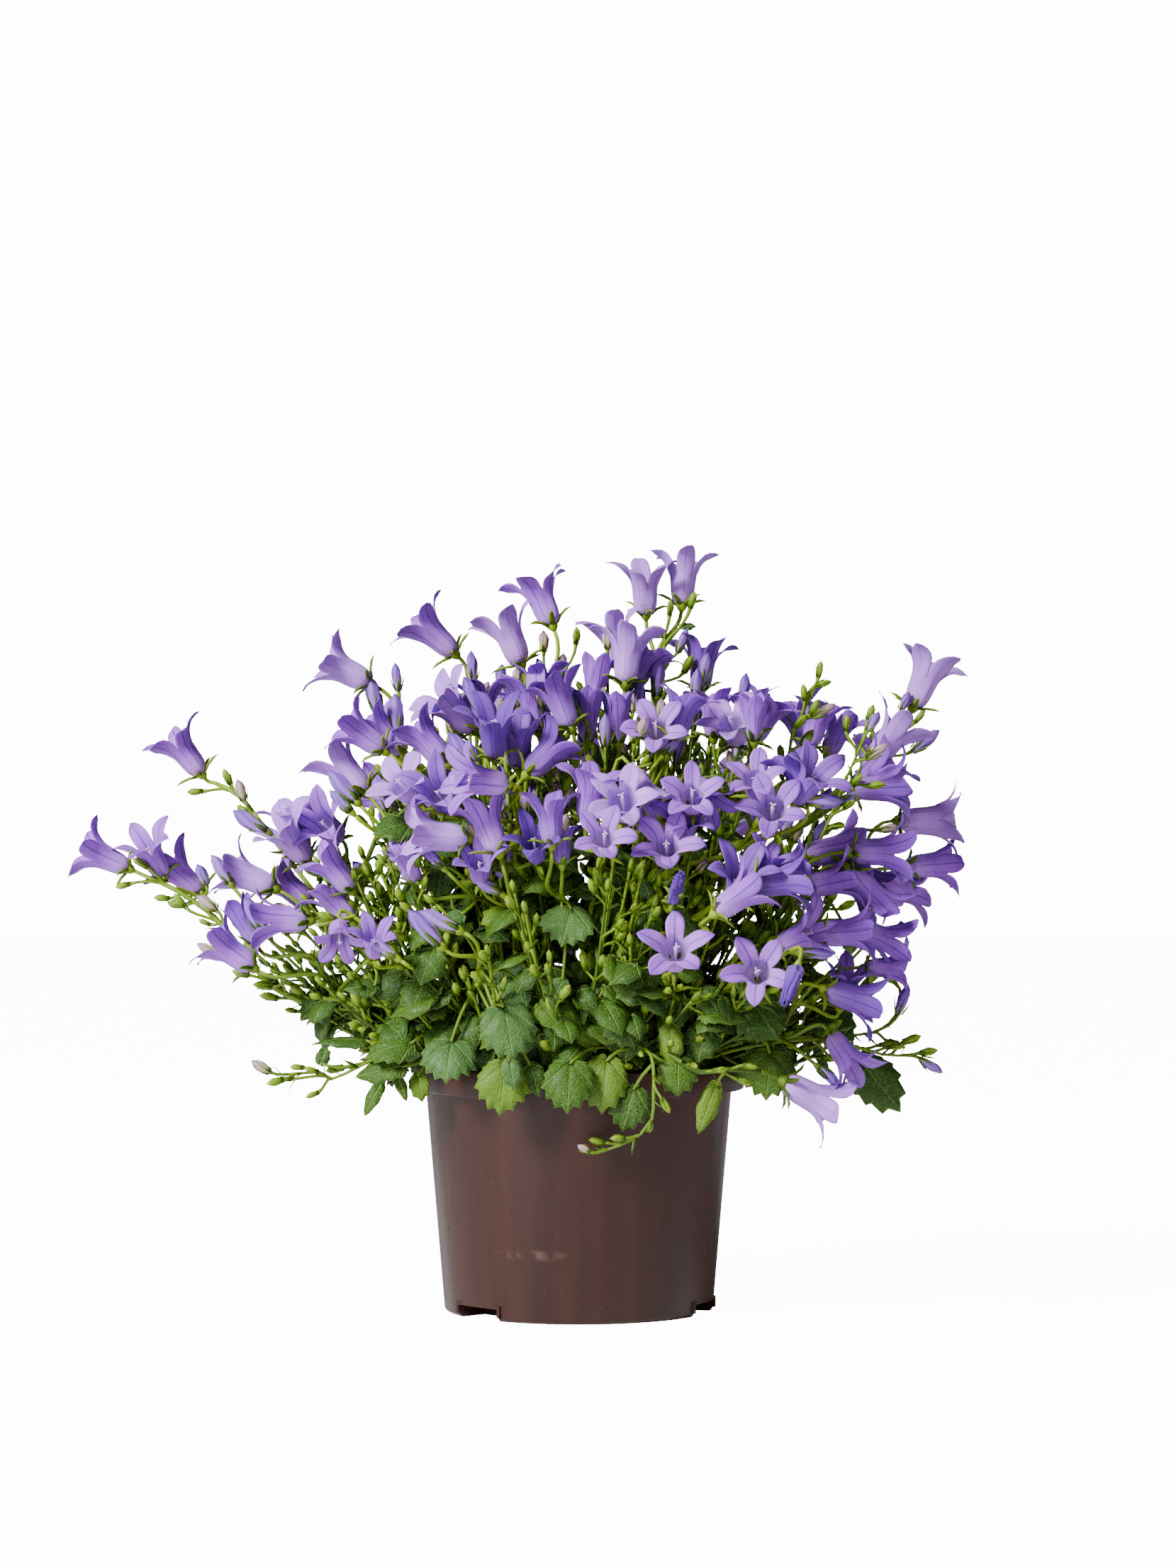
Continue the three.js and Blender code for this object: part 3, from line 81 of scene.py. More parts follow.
# Bunches of blooms: name, depth, then rows of x and z of the throat (of the middle for a bud), the
# way it points in the picture and towards the eye in degrees, its kind (S star, B bell, H half
# open, P pleated bud), its size, the row that it touches, whether it lies behind (1) or before
# (-1) that one, and how far apart.
BUNCHES = {
    "arm_tip": (12, [
        [-156.5, 167, 118, 30, "B", 0.95], [-175, 165.3, 155, 5, "B", 0.98, 0, -1, 18.5],
        [-146, 159, 140, -10, "B", 0.95, 0, 1, 17],
    ]),
    "arm_middle": (0, [
        [-123, 158, 157, -5, "B", 1.05], [-107.5, 155, 140, 0, "B", 1, 0, 1, 17.5],
        [-130, 159.8, 124, 0, "P", 0.85, 0, -1, 9],
    ]),
    "arm_upper": (-15, [
        [-107, 173, 128, 22, "B", 1.05], [-103, 177, 100, 10, "B", 1.05, 0, 1, 14],
        [-93.5, 177, 135, 50, "B", 1, 1, -1, 14.5], [-119.5, 177, 147, 0, "P", 1, 0, 1, 13.5],
    ]),
    "arm_top": (36, [
        [-145, 204.3, 128, 8, "B", 1],
    ]),
    "arm_lower": (-24, [
        [-123, 143.5, 118, 0, "H", 0.9], [-118, 143.5, 122, 0, "P", 1, 0, -1, 6],
        [-112, 141.5, 178, 0, "B", 1.05, 1, -1, 8.5], [-129, 131.5, 145, 0, "B", 1, 0, 1, 13],
    ]),
    "left_shoulder": (-15, [
        [-73, 211, 135, -5, "B", 1], [-81, 210, 145, 0, "B", 0.95, 0, -1, 12],
        [-66.5, 216, 92, 5, "P", 1.05, 0, -1, 8],
    ]),
    "left_peak": (18, [
        [-88, 233.5, 153, 3, "B", 1.05], [-74.5, 223, 105, 0, "P", 1, 0, 1, 15],
    ]),
    "left_flank": (-18, [
        [-87, 198, 133, -5, "B", 1.08], [-86, 190, 133, 0, "P", 1.05, 0, -1, 9],
        [-86.5, 184.5, 135, 0, "P", 0.75, 1, -1, 5],
    ]),
    "crest_left": (30, [
        [-55, 247, 138, 5, "B", 1.05],
    ]),
    "upper_left": (-21, [
        [-48, 220, 135, 20, "B", 1.1], [-57, 208.5, 132, -8, "B", 1.05, 0, -1, 16],
        [-38.5, 223.5, 118, 0, "P", 0.95, 0, -1, 12.5], [-35, 222, 92, -5, "B", 0.9, 2, 1, 10],
    ]),
    "left_face": (-60, [
        [-66, 192, 133, 45, "S", 1.05], [-51.5, 188.5, 115, 58, "B", 0.95, 0, -1, 16],
        [-39, 192.5, 172, 25, "B", 1.05, 1, -1, 15.8], [-42.5, 203.5, 130, 0, "P", 1, 2, 1, 12],
    ]),
    "left_middle": (-68, [
        [-55, 172, 175, 12, "B", 1.1], [-63, 164.5, 110, 20, "B", 0.8, 0, 1, 15],
        [-53, 164, 135, 0, "P", 0.7, 0, 1, 7.5],
    ]),
    "left_heart": (-66, [
        [-34, 179, 110, -10, "B", 1.05], [-36.5, 163, 95, 45, "B", 0.85, 0, -1, 15.7],
        [-33, 153.5, 150, 0, "P", 0.75, 1, 1, 10.5],
    ]),
    "left_low": (-42, [
        [-91, 162, 130, 8, "B", 0.98], [-90, 150, 130, 0, "B", 0.9, 0, 1, 13],
    ]),
    "left_foot": (-60, [
        [-87, 132.5, -85, 45, "S", 0.85], [-74.5, 135, 90, 40, "B", 0.72, 0, 1, 12],
        [-71, 131, 145, 0, "P", 0.75, 1, -1, 7],
    ]),
    "left_pleats": (-70, [
        [-56, 138.5, 133, 5, "P", 1.15], [-51, 141, 155, 0, "P", 1.05, 0, 1, 5],
    ]),
    "crest_middle": (18, [
        [-26.5, 247, 113, 0, "B", 1.08], [-14.5, 260.5, 112, -5, "B", 1.02, 0, 1, 17.5],
    ]),
    "crest_top": (33, [
        [38, 268.5, 87, -12, "B", 1.05], [24, 265, 92, 15, "B", 1.02, 0, -1, 16.5],
    ]),
    "crest_front": (-15, [
        [18, 241, 85, -8, "B", 1.08], [12, 246, 108, 0, "B", 1.02, 0, 1, 14],
        [25, 236, 60, 0, "B", 0.95, 0, 1, 14], [28.5, 229.5, 88, 0, "P", 1, 2, -1, 8.5],
        [6.5, 231, 82, 0, "H", 0.95, 0, -1, 15],
    ]),
    "upper_middle": (-39, [
        [-17, 224, 98, 15, "B", 1.08], [-13, 229, 95, 0, "B", 0.9, 0, 1, 14],
        [-8, 223.5, 112, -5, "B", 1, 0, -1, 13], [-5.5, 222, 135, 0, "P", 0.9, 2, 1, 8],
    ]),
    "dark_pair": (-60, [
        [-31, 213, 92, 25, "B", 1.05], [-22, 209, 90, 20, "B", 1, 0, 1, 14.5],
        [-9.5, 203.5, 45, -10, "B", 1, 1, -1, 14],
    ]),
    "slim_pair": (-33, [
        [3, 218.5, 90, 5, "H", 0.95], [14, 218, 92, 0, "H", 0.95, 0, 1, 11.5],
    ]),
    "upper_star": (-62, [
        [28, 212, 95, 60, "S", 1], [38, 218.5, 75, 0, "B", 0.95, 0, 1, 14.5],
        [33.7, 204.4, 48, 0, "P", 0.65, 0, 1, 12],
    ]),
    "crest_right": (30, [
        [45, 237, 86, -10, "B", 1],
    ]),
    "right_star": (-42, [
        [55, 215, 110, 45, "S", 1.05], [49, 219.5, 90, 0, "B", 0.9, 0, 1, 14],
        [63.5, 217.5, 92, 5, "H", 0.85, 0, -1, 12.6], [62, 219, 95, 0, "B", 0.9, 0, 1, 14],
    ]),
    "right_crown": (9, [
        [69, 217, 62, 5, "B", 0.95], [79, 215.5, 112, -5, "B", 1.05, 0, 1, 15],
        [87, 215.5, 75, 0, "B", 0.9, 1, -1, 14],
    ]),
    "right_upper": (12, [
        [115, 209, 52, -10, "B", 1.1], [105, 204.5, 100, 0, "B", 0.85, 0, 1, 14],
        [94.8, 212, 68, 0, "B", 0.92, 1, -1, 12.5],
    ]),
    "right_peak": (42, [
        [126.8, 231.5, 67, -5, "B", 1.12],
    ]),
    "right_flank": (-3, [
        [110, 197, 40, 0, "B", 1.05], [113.5, 189.5, 3, 5, "B", 1.05, 0, -1, 13],
        [99.5, 186, 22, 0, "P", 0.75, 1, -1, 14],
    ]),
    "right_tip": (18, [
        [131.5, 161.5, 4, -8, "B", 1], [131, 177.3, 0, 0, "B", 1.15, 0, -1, 16.5],
        [121.5, 152, -3, 0, "B", 0.98, 0, 1, 15.5],
    ]),
    "right_face": (-66, [
        [64, 194, 100, 50, "S", 0.95], [70.5, 183, 90, 62, "S", 1.1, 0, -1, 15],
        [78, 197, 110, 0, "B", 0.85, 0, 1, 14.5], [85.5, 193.5, 55, 30, "B", 0.98, 2, -1, 11.5],
        [89, 184.5, 0, 5, "P", 0.95, 3, 1, 9.8],
    ]),
    "middle_right": (-82, [
        [32, 170, 90, 55, "S", 1.08], [38.5, 178, 85, 45, "B", 0.95, 0, 1, 15],
        [41, 188, 95, 60, "S", 0.98, 1, -1, 14], [47.5, 184.5, -60, 40, "B", 0.85, 2, 1, 14],
        [36.5, 156, 75, 40, "B", 0.6, 0, -1, 17], [34.5, 151, 90, 62, "B", 0.5, 4, -1, 7.5],
    ]),
    "middle_star": (-84, [
        [16, 186.5, 95, 60, "S", 1.12], [5, 190, 80, 12, "B", 1, 0, 1, 15],
        [25, 186.5, -60, 20, "B", 0.85, 0, 1, 14], [9, 172.5, 90, 60, "S", 0.95, 0, -1, 17],
    ]),
    "middle_left": (-76, [
        [-10.5, 181, 93, 5, "B", 0.9], [-16, 170, 95, 50, "B", 0.85, 0, 1, 12.5],
        [-6.5, 171, 92, 0, "B", 0.7, 0, 1, 12],
    ]),
    "front_star": (-92, [
        [35, 132, 90, 60, "S", 1.12],
    ]),
    "right_middle": (-78, [
        [59, 158, 80, 40, "B", 1], [60.5, 151.5, 35, -5, "B", 0.98, 0, -1, 13],
        [69, 163.5, 60, 10, "B", 0.75, 0, 1, 13], [77, 156, 8, 0, "B", 1.05, 2, -1, 12],
        [78.5, 161.5, 15, 0, "B", 0.8, 3, 1, 12],
    ]),
    "right_inner": (-36, [
        [96, 167, 10, -8, "B", 1.08], [94.5, 156, 14, 5, "B", 1, 0, -1, 15],
        [112.5, 166, 0, -10, "B", 1.05, 0, -1, 16.8],
    ]),
    "right_outer": (-27, [
        [111, 153.5, -25, 20, "B", 1.02], [107, 148.5, -50, -8, "B", 1.15, 0, -1, 14],
    ]),
    "right_lower": (-64, [
        [83.5, 136.5, 25, 30, "B", 1], [87, 129.5, 0, 10, "P", 0.85, 0, 1, 7.5],
        [101, 137, 4, 0, "B", 1.05, 0, 1, 19], [111.5, 134, -25, -20, "B", 0.95, 2, 1, 16],
    ]),
    "front_right_star": (-86, [
        [65, 123.5, 95, 72, "S", 1.08], [77.5, 119, -110, 10, "P", 0.8, 0, -1, 13.5],
    ]),
    "right_foot": (-51, [
        [103, 112, -18, 0, "B", 1.05], [97, 120, 80, 20, "B", 0.85, 0, 1, 11.2],
        [114.5, 124, 0, 0, "B", 0.8, 1, 1, 18],
    ]),
    "low_right": (-57, [
        [98.5, 90, -55, 25, "B", 0.95], [91, 84.5, -40, 0, "P", 0.7, 0, 1, 9],
    ]),
    "drooping": (-57, [
        [88, 75.5, -28, -5, "B", 1.12],
    ]),
}

# Buds on the stems: x and z of the calyx, the way each points, its length, its tone (g green,
# c cream, v violet stripes).
BUDS = [
    [-126.5, 190.5, 113, 6.5, "g"], [-121.5, 184.5, 108, 8.5, "c"], [-136.5, 188, 183, 6, "g"],
    [-156.5, 160.5, 150, 6.5, "g"], [-135, 154, 115, 8.5, "v"], [-131.5, 145, 145, 9, "c"],
    [-143, 146, 128, 6.5, "g"], [-129.5, 128, 152, 10.5, "c"], [-163, 154.5, 195, 5.5, "g"],
    [-104, 144.5, 165, 8, "c"], [-109, 122, 120, 5, "g"], [-77, 176, 140, 5.5, "g"],
    [-52, 147, 140, 5.5, "g"], [-76.5, 138, 138, 7.5, "c"], [-66, 128, 148, 10.5, "v"],
    [-77, 157.5, 135, 7.5, "v"], [-67, 202, 120, 5, "g"], [-59, 197, 95, 7.5, "g"],
    [-65.5, 224.5, 97, 10.5, "v"], [-28.5, 225.5, 86, 9, "v"], [-19.5, 226, 112, 7.5, "v"],
    [-1, 241.5, 88, 6.5, "g"], [33, 252, 85, 6, "g"], [40.5, 254.5, 75, 6.5, "g"],
    [36, 238.5, 68, 9.5, "v"], [38, 231, 62, 7.5, "g"], [-7, 191, 105, 6.5, "c"], [-1, 190, 93, 7.5, "c"],
    [23, 176.5, 85, 5, "g"], [-8, 148, 108, 10, "v"], [-13.5, 150.5, 122, 7, "c"], [-12, 135, 132, 7, "v"],
    [-2, 128.5, 130, 6.5, "v"], [43.5, 126.5, 22, 6, "c"], [0.5, 107, 95, 5, "g"], [87, 229.5, 80, 6, "g"],
    [86, 226.5, 15, 6, "g"], [82, 221, 95, 6, "g"], [84, 216, 60, 6, "g"], [78.5, 211, 50, 6.5, "g"],
    [97, 210, 85, 6, "g"], [105, 214, 70, 6, "g"], [105, 210, 60, 8, "v"], [117, 217.5, 65, 7.5, "v"],
    [122, 213, 50, 6, "g"], [121, 202.5, 38, 13, "v"], [93.5, 188.5, 22, 6.5, "c"], [105, 190, 5, 6.5, "g"],
    [109, 174, 10, 7, "c"], [58, 138.5, 20, 6.5, "c"], [116, 107, 72, 11.5, "v"], [115, 118.5, 145, 6, "g"],
    [124, 93, 10, 6.5, "g"], [124, 91, -33, 9.5, "v"], [112, 95, 5, 5, "g"], [93, 91, -2, 6, "g"],
    [60, 88.5, -8, 5, "g"], [49, 86.5, 8, 5, "g"], [4, 57, 150, 5, "c"], [17, 62, 180, 5.5, "g"],
    [-112, 86, 148, 8, "c"], [-104.5, 83.5, 180, 5, "g"], [-100, 87.7, 178, 5, "g"],
    [-94.5, 78.7, 202, 5, "g"],
]

# Leaves: x and z of the middle, the way the tip points, length, width to length, lean (0 faces
# the eye, 90 faces up), depth, how many points its edge has, tone; a pale tone is a painted sheen
# and a lime one partly painted light through the leaf.
LEAVES = [
    [-24, 114.5, -120, 15, 1, 25, -62, 7, "pale"], [-26, 103, -80, 21, 1, 20, -68, 7, "pale"],
    [-27.5, 82.5, -95, 19, 1.05, 18, -67, 7, "lime"], [-24.5, 86.5, -80, 11, 0.7, 15, -72, 5, "pale"],
    [-16.5, 84.5, -75, 12, 0.8, 10, -65, 5, "dark"], [-3.5, 83, -93, 19, 1.02, 18, -71, 7, "mid"],
    [9.5, 83.5, -95, 20, 0.85, 12, -65.5, 7, "lime"], [18.5, 74.5, -105, 16, 1, 10, -64.5, 7, "dark"],
    [16, 104, -70, 17, 1, 30, -60, 7, "dark"], [3.5, 102, -75, 15, 0.9, 20, -55, 5, "lime"],
    [-7, 117, -110, 9, 0.85, 25, -66, 5, "pale"], [36, 86, -90, 14, 1.1, 15, -63, 5, "mid"],
    [33.5, 98, -85, 16, 0.6, 20, -60, 5, "lime"], [47.5, 75, -110, 19, 0.42, 10, -61, 5, "lime"],
    [-9, 101, -90, 12, 0.75, 20, -61, 5, "dark"], [-4, 141, -100, 17, 1.25, 40, -62, 7, "pale"],
    [-20, 146, -70, 10, 0.9, 30, -54, 5, "dark"], [-28, 143, -150, 13, 0.9, 40, -58, 5, "lime"],
    [25, 142, -90, 13, 0.9, 25, -56, 5, "mid"], [24, 153, -70, 8, 0.8, 25, -54, 5, "pale"],
    [-66, 175.5, -155, 15, 0.95, 40, -50, 7, "dark"], [-50, 157, -100, 13, 0.95, 25, -46, 5, "dark"],
    [-45, 142, -140, 9, 0.8, 35, -66, 5, "pale"], [3, 152, -20, 10, 0.8, 40, -50, 5, "dark"],
    [-47, 92, -95, 17, 1.25, 30, -56, 7, "pale"], [-67, 95, -160, 18, 0.75, 40, -46, 7, "mid"],
    [-70, 87, -168, 18, 0.55, 35, -46, 5, "mid"], [-84, 97.5, 180, 21, 0.45, 75, -22, 5, "dark"],
    [-74, 78, -115, 14, 0.4, 10, -30, 5, "mid"], [-65, 82, -70, 11, 0.4, 15, -44, 5, "mid"],
    [-58, 81.5, -80, 10, 0.8, 15, -42, 5, "lime"], [-58, 115, -110, 15, 0.95, 30, -50, 5, "dark"],
    [-78, 117, -170, 12, 0.8, 45, -34, 5, "dark"], [-96, 110, -120, 13, 0.7, 40, -4, 5, "dark"],
    [-93, 91.5, 70, 7, 0.8, 15, -25, 5, "dark"], [69, 87, -95, 18, 1.15, 15, -46, 7, "mid"],
    [107, 84, -52, 25, 0.75, 20, -30, 7, "dark"], [93, 104, -80, 18, 0.9, 30, -30, 5, "dark"],
    [65, 108, -60, 21, 1, 30, -52, 7, "dark"], [47, 113, -60, 12, 0.9, 25, -60, 5, "dark"],
    [51, 107, -5, 17, 0.55, 50, -62, 5, "mid"], [45, 98, -100, 14, 1, 20, -56, 5, "dark"],
    [86, 118, -60, 12, 0.9, 30, -36, 5, "dark"], [98, 135, -80, 10, 0.7, 20, -56, 5, "dark"],
    [29, 245, 175, 6, 0.6, 30, 27, 5, "dark"], [39, 248, 0, 6, 0.6, 30, 27, 5, "dark"],
]

# The far side: bunches of the near side that come again, turned about the pot's axis by so many
# degrees and raised by so much.
TURNED = [
    ("right_face", 95, -4), ("dark_pair", 200, -12), ("left_face", 262, -6),
    ("right_upper", 100, -52), ("left_low", 262, -6), ("right_crown", 100, 4),
]

# Crowns in the soil that the leafy stems rise from: distance from the pot's axis and bearing. The
# inner ones lie nearer than the distance below, and carry the tall bunches in the middle: those
# above a height and within a reach of the axis.
CROWNS = {
    "top_left": (10, 180), "top_right": (10, 0), "front": (27, -92), "front_right": (27, -52),
    "right": (27, -12), "back_right": (27, 45), "back_left": (27, 125), "left": (27, 190),
    "front_left": (27, -134),
}
CROWN_NUMBERS = {crown: number for number, crown in enumerate(CROWNS)}
INNER_CROWNS = 20
TALL = {"above": 205, "within": 58}

# Main stems that were read as picture places with their depth, after the crown.
ROUTES = {
    "arm_tip": [(-58, 98.5, -8), (-78, 102, -4), (-98, 110.5, 0), (-112, 117.5, 3), (-120, 127.5, 5),
                (-132, 142, 8), (-146, 152, 10.5), (-152, 155, 11.5)],
    "arm_top": [(-70, 120, 14), (-95, 150, 22), (-112, 172, 28), (-123, 186, 33), (-131, 190.5, 35.5)],
    "drooping": [(28, 93, -52), (36, 90.5, -64), (44, 86, -68), (54, 87, -66), (66, 86, -62)],
}

# Stems without a bunch at their end, read as picture places with their depth.
SHOOTS = [
    ("front", [(14, 95, -50), (24, 94.5, -60), (27, 89, -66), (27.2, 78, -68), (26.6, 69, -66),
               (22.5, 63.5, -63), (15, 59.5, -61), (6, 56.6, -60)]),
    ("left", [(-56, 96, -16), (-70, 92.5, -22), (-80, 88, -24), (-89.5, 83.6, -24), (-94, 86, -24),
              (-101, 85.6, -24), (-110, 85, -24)]),
    ("right", [(54, 95.5, -20), (75, 98.5, -24), (95, 99, -26), (107, 100.5, -26), (113, 103, -26)]),
    ("right", [(56, 94, -32), (84, 98, -36), (98, 96, -36), (110, 92.5, -36), (121, 92, -36)]),
    ("right", [(44, 118, -14), (62, 160, -18), (74, 192, -20), (77.5, 207, -20), (83, 221, -20)]),
    ("right", [(62, 125, -24), (85, 165, -26), (96, 190, -26), (104, 208, -26)]),
]

# A bunch's fork: how far it lies from the middle of the blooms, against their axis and towards
# the plant's heart, which is at a height over the pot's axis; less far for a single bloom.
FORK = {"under": 5, "inward": 13, "single": 9, "heart": 100}
# A stem's curve: how far its ends pull on it, as shares of its span, and its steps.
ARCH = {"leave": 0.36, "arrive": 0.3, "step": 21, "fewest": 2, "most": 7}
# Where a younger stem may leave an older one: how near the fork, how straight on it has to run,
# and what a turn costs.
BRANCH = {"near": 0.62, "straight": 0.45, "turn": 1.6}
# How steeply a stem leaves its crown, in degrees: more than it rises to its fork, within limits.
STEEP = {"more": 16, "least": 30, "most": 86}
# How far below the one before it the stalk of each bloom of a bunch leaves the stem.
STALK_STEP = 3.2
# How far before its base a bud's stalk springs from the stem, how far the bud turns towards the
# eye, and what it costs when the stem lies more than a little above that place.
BUD_STALK = {"back": 8, "face": 8, "above": 2, "cost": 12}
# Places that a leaf's stalk had better not go to, low and far out, and what they cost; then what
# a stalk costs by its length, and more where it would run on past the leaf's tip.
LEAF_STALK = {"low": 90, "far": 40, "cost": 200, "least": 5, "long": 1.5, "on": 0.5}
NEVER = 1e6
# Stalks that go over the pot's rim: the notch lies below and outside, the foot inside; they bend
# at a height and at a radius within limits.
OVER_RIM = {"below": 93.5, "outside": 60, "inside": 61.5, "high": 95, "near": 62, "far": 64}


def vec(*numbers):
    return np.array(numbers, float)


UP = vec(0, 0, 1)


def length(a):
    return float(np.linalg.norm(a))


def heading(bearing, distance=1):
    """The level way at a bearing, so long."""
    return vec(distance * math.cos(bearing), distance * math.sin(bearing), 0)


def raised(way, angle):
    """A level way, raised by an angle."""
    return way * math.cos(angle) + UP * math.sin(angle)


def unit(a):
    return a / (length(a) or 1)


def mix(a, b, t):
    return a * (1 - t) + b * t


def clamp(x, low, high):
    return min(high, max(low, x))


def ease(x):
    x = np.clip(x, 0, 1)
    return x * x * (3 - 2 * x)


def draw(number, salt):
    """A repeatable draw from 0 to 1 for the thing with this number."""
    s = math.sin(number * 12.9898 + salt * 78.233) * 43758.5453
    return s - math.floor(s)


def place(x, z, y):
    """The point at depth y that is seen at the picture place (x, z)."""
    k = (EYE["distance"] + y) / EYE["distance"]
    return vec(EYE["x"] + (x - EYE["x"]) * k, y, EYE["z"] + (z - EYE["z"]) * k)


def turned_about_z(p, degrees, lift=0):
    c, s = math.cos(math.radians(degrees)), math.sin(math.radians(degrees))
    return vec(p[0] * c - p[1] * s, p[0] * s + p[1] * c, p[2] + lift)


def curve_at(t, start, p1, p2, end):
    """The point at t on the smooth curve from start to end that p1 and p2 pull on."""
    k = 1 - t
    return start * k ** 3 + p1 * 3 * k * k * t + p2 * 3 * k * t * t + end * t ** 3


def axis_of(turn, face):
    """The way that points at an angle in the picture, and by another angle towards the eye."""
    t, f = math.radians(turn), math.radians(face)
    return vec(math.cos(f) * math.cos(t), -math.sin(f), math.cos(f) * math.sin(t))


def blooms_of(depth, rows):
    """The blooms of a bunch from its rows, each with its throat, base and frame."""
    made = []
    for x, z, turn, face, kind, size, *rest in rows:
        parent, side, apart = rest or (-1, 0, 0)
        at = place(x, z, depth)
        if parent >= 0:
            other = made[parent]["throat"]
            flat = place(x, z, other[1])
            across = math.hypot(flat[0] - other[0], flat[2] - other[2])
            at = place(x, z, other[1] + side * math.sqrt(max(0, apart * apart - across * across)))
        made.append({"throat": at, "axis": axis_of(turn, face), "kind": kind, "size": size, "parent": parent})
    for i, bloom in enumerate(made):
        child = next((k for k, b in enumerate(made) if b["parent"] == i), -1)
        mate = bloom["parent"] if bloom["parent"] >= 0 else child
        axis = bloom["axis"]
        toward = made[mate]["throat"] - bloom["throat"] if mate >= 0 else UP
        toward = toward - axis * np.dot(toward, axis)
        if length(toward) < 1:
            toward = np.cross(axis, vec(1, 0, 0))
        reach = BUD_LENGTH * 0.5 if bloom["kind"] == "P" else BELL_TUBE
        bloom["u"] = unit(toward)
        bloom["v"] = np.cross(axis, bloom["u"])
        bloom["base"] = bloom["throat"] - axis * reach * bloom["size"]
    return made


def turned_bloom(bloom, degrees, lift):
    turned = dict(bloom)
    for key in ("throat", "base"):
        turned[key] = turned_about_z(bloom[key], degrees, lift)
    for key in ("axis", "u", "v"):
        turned[key] = turned_about_z(bloom[key], degrees)
    return turned


def all_bunches():
    """Every bunch by its name, near side and far side, with its blooms numbered."""
    near = {name: blooms_of(depth, rows) for name, (depth, rows) in BUNCHES.items()}
    far = {f"far_{name}": [turned_bloom(b, degrees, lift) for b in near[name]]
           for name, degrees, lift in TURNED}
    bunches = {**near, **far}
    for number, bloom in enumerate(b for bunch in bunches.values() for b in bunch):
        bloom["number"] = number
    return bunches


def crown_top(crown, z):
    r, bearing = CROWNS[crown]
    return heading(math.radians(bearing), r) + UP * z


def is_inner(crown):
    return CROWNS[crown][0] < INNER_CROWNS


def crown_of(tip):
    """The crown that a bunch at this place rises from: inner or outer, and nearest in bearing."""
    bearing = math.atan2(tip[1], tip[0])
    inner = tip[2] > TALL["above"] and math.hypot(tip[0], tip[1]) < TALL["within"]

    def off(crown):
        turn = bearing - math.radians(CROWNS[crown][1])
        return abs(math.atan2(math.sin(turn), math.cos(turn)))

    return min((c for c in CROWNS if inner == is_inner(c)), key=off)


def fork_of(name, bunch):
    """Where the stalks of a bunch part: under its middle, towards the heart of the plant."""
    centre = sum(b["base"] for b in bunch) / len(bunch)
    axis = unit(sum(b["axis"] for b in bunch))
    inward = unit(UP * FORK["heart"] - centre)
    fork = centre - axis * FORK["under"] + inward * FORK["inward" if len(bunch) > 1 else "single"]
    return {"name": name, "crown": crown_of(centre), "axis": axis, "fork": fork}


def samples_on(points, crown, step):
    """The points along a path at even steps of about this length, with the way it runs there."""
    samples = []
    for a, b in zip(points, points[1:]):
        count = max(1, math.floor(length(b - a) / step + 0.5))
        samples += [{"p": mix(a, b, k / count), "t": unit(b - a), "crown": crown} for k in range(count)]
    return samples


def arch(start, leave, fork, reach):
    """A stem from its start, which it leaves along a way, to its fork, reached along another."""
    span = length(fork - start)
    p1, p2 = start + leave * span * ARCH["leave"], fork - reach * span * ARCH["arrive"]
    steps = clamp(math.floor(span / ARCH["step"] + 0.5), ARCH["fewest"], ARCH["most"])
    return [curve_at(t, start, p1, p2, fork) for t in np.linspace(0, 1, steps + 1)]


def branch_point(along, fork, span):
    """The best place on the older stems for a stem to this fork to leave from, if there is one."""
    best = None
    for one in along:
        way = fork - one["p"]
        off = length(way)
        straight = np.dot(way, one["t"]) / off
        if off > BRANCH["near"] * span or straight < BRANCH["straight"] or one["p"][2] > fork[2]:
            continue
        cost = off * (BRANCH["turn"] - straight)
        if best is None or cost < best[0]:
            best = (cost, one)
    return best and best[1]


def stem_to(job, top, along, turn):
    """The way of a main stem to its fork: off an older stem, or up from the crown."""
    fork, span = job["fork"], length(job["fork"] - top)
    one = branch_point(along, fork, span)
    if one:
        start = one["p"]
        leave = unit(one["t"] + unit(fork - start) * 0.6)
    else:
        flat = unit(vec(fork[0] - top[0], fork[1] - top[1], 0))
        rise = math.asin(clamp((fork[2] - top[2]) / span, -1, 1))
        upright = clamp((rise - math.radians(25)) / math.radians(50), 0, 1)
        side = vec(-flat[1], flat[0], 0)
        angle = clamp(rise + math.radians(STEEP["more"]), math.radians(STEEP["least"]),
                      math.radians(STEEP["most"]))
        start = top + flat * 1.9 * (1 - 2 * upright) + side * 1.3 * ((turn % 3) - 1)
        leave = raised(flat, angle)
    reach = unit(unit(fork - start) * 0.55 + job["axis"] * 0.45)
    return arch(start, leave, fork, reach), one is not None


def main_stems(bunches):
    """The farthest forks are reached from the crown, nearer ones may branch from those."""
    stems = []
    jobs = [fork_of(name, bunch) for name, bunch in bunches.items()]
    for crown in CROWNS:
        top = crown_top(crown, STEM_FOOT)
        along = []

        def grow(name, points, branch):
            stems.append({"name": name, "crown": crown, "points": points, "branch": branch})
            along.extend(samples_on(points, crown, 5)[4:])

        for home, way in SHOOTS:
            if home == crown:
                grow(None, [top] + [place(*p) for p in way], False)
        mine = sorted((j for j in jobs if j["crown"] == crown), key=lambda j: -length(j["fork"] - top))
        for i, job in enumerate(mine):
            if job["name"] in ROUTES:
                grow(job["name"], [top] + [place(*p) for p in ROUTES[job["name"]]], False)
            else:
                grow(job["name"], *stem_to(job, top, along, i))
    return stems


def stalk_start(stem, number):
    """The place that the stalk of the bloom with this number leaves its stem at, lower for each."""
    left = STALK_STEP * number
    points = stem["points"]
    for i in range(len(points) - 1, 0, -1):
        span = length(points[i] - points[i - 1])
        if left < span:
            return mix(points[i], points[i - 1], left / span)
        left -= span
    return points[1]


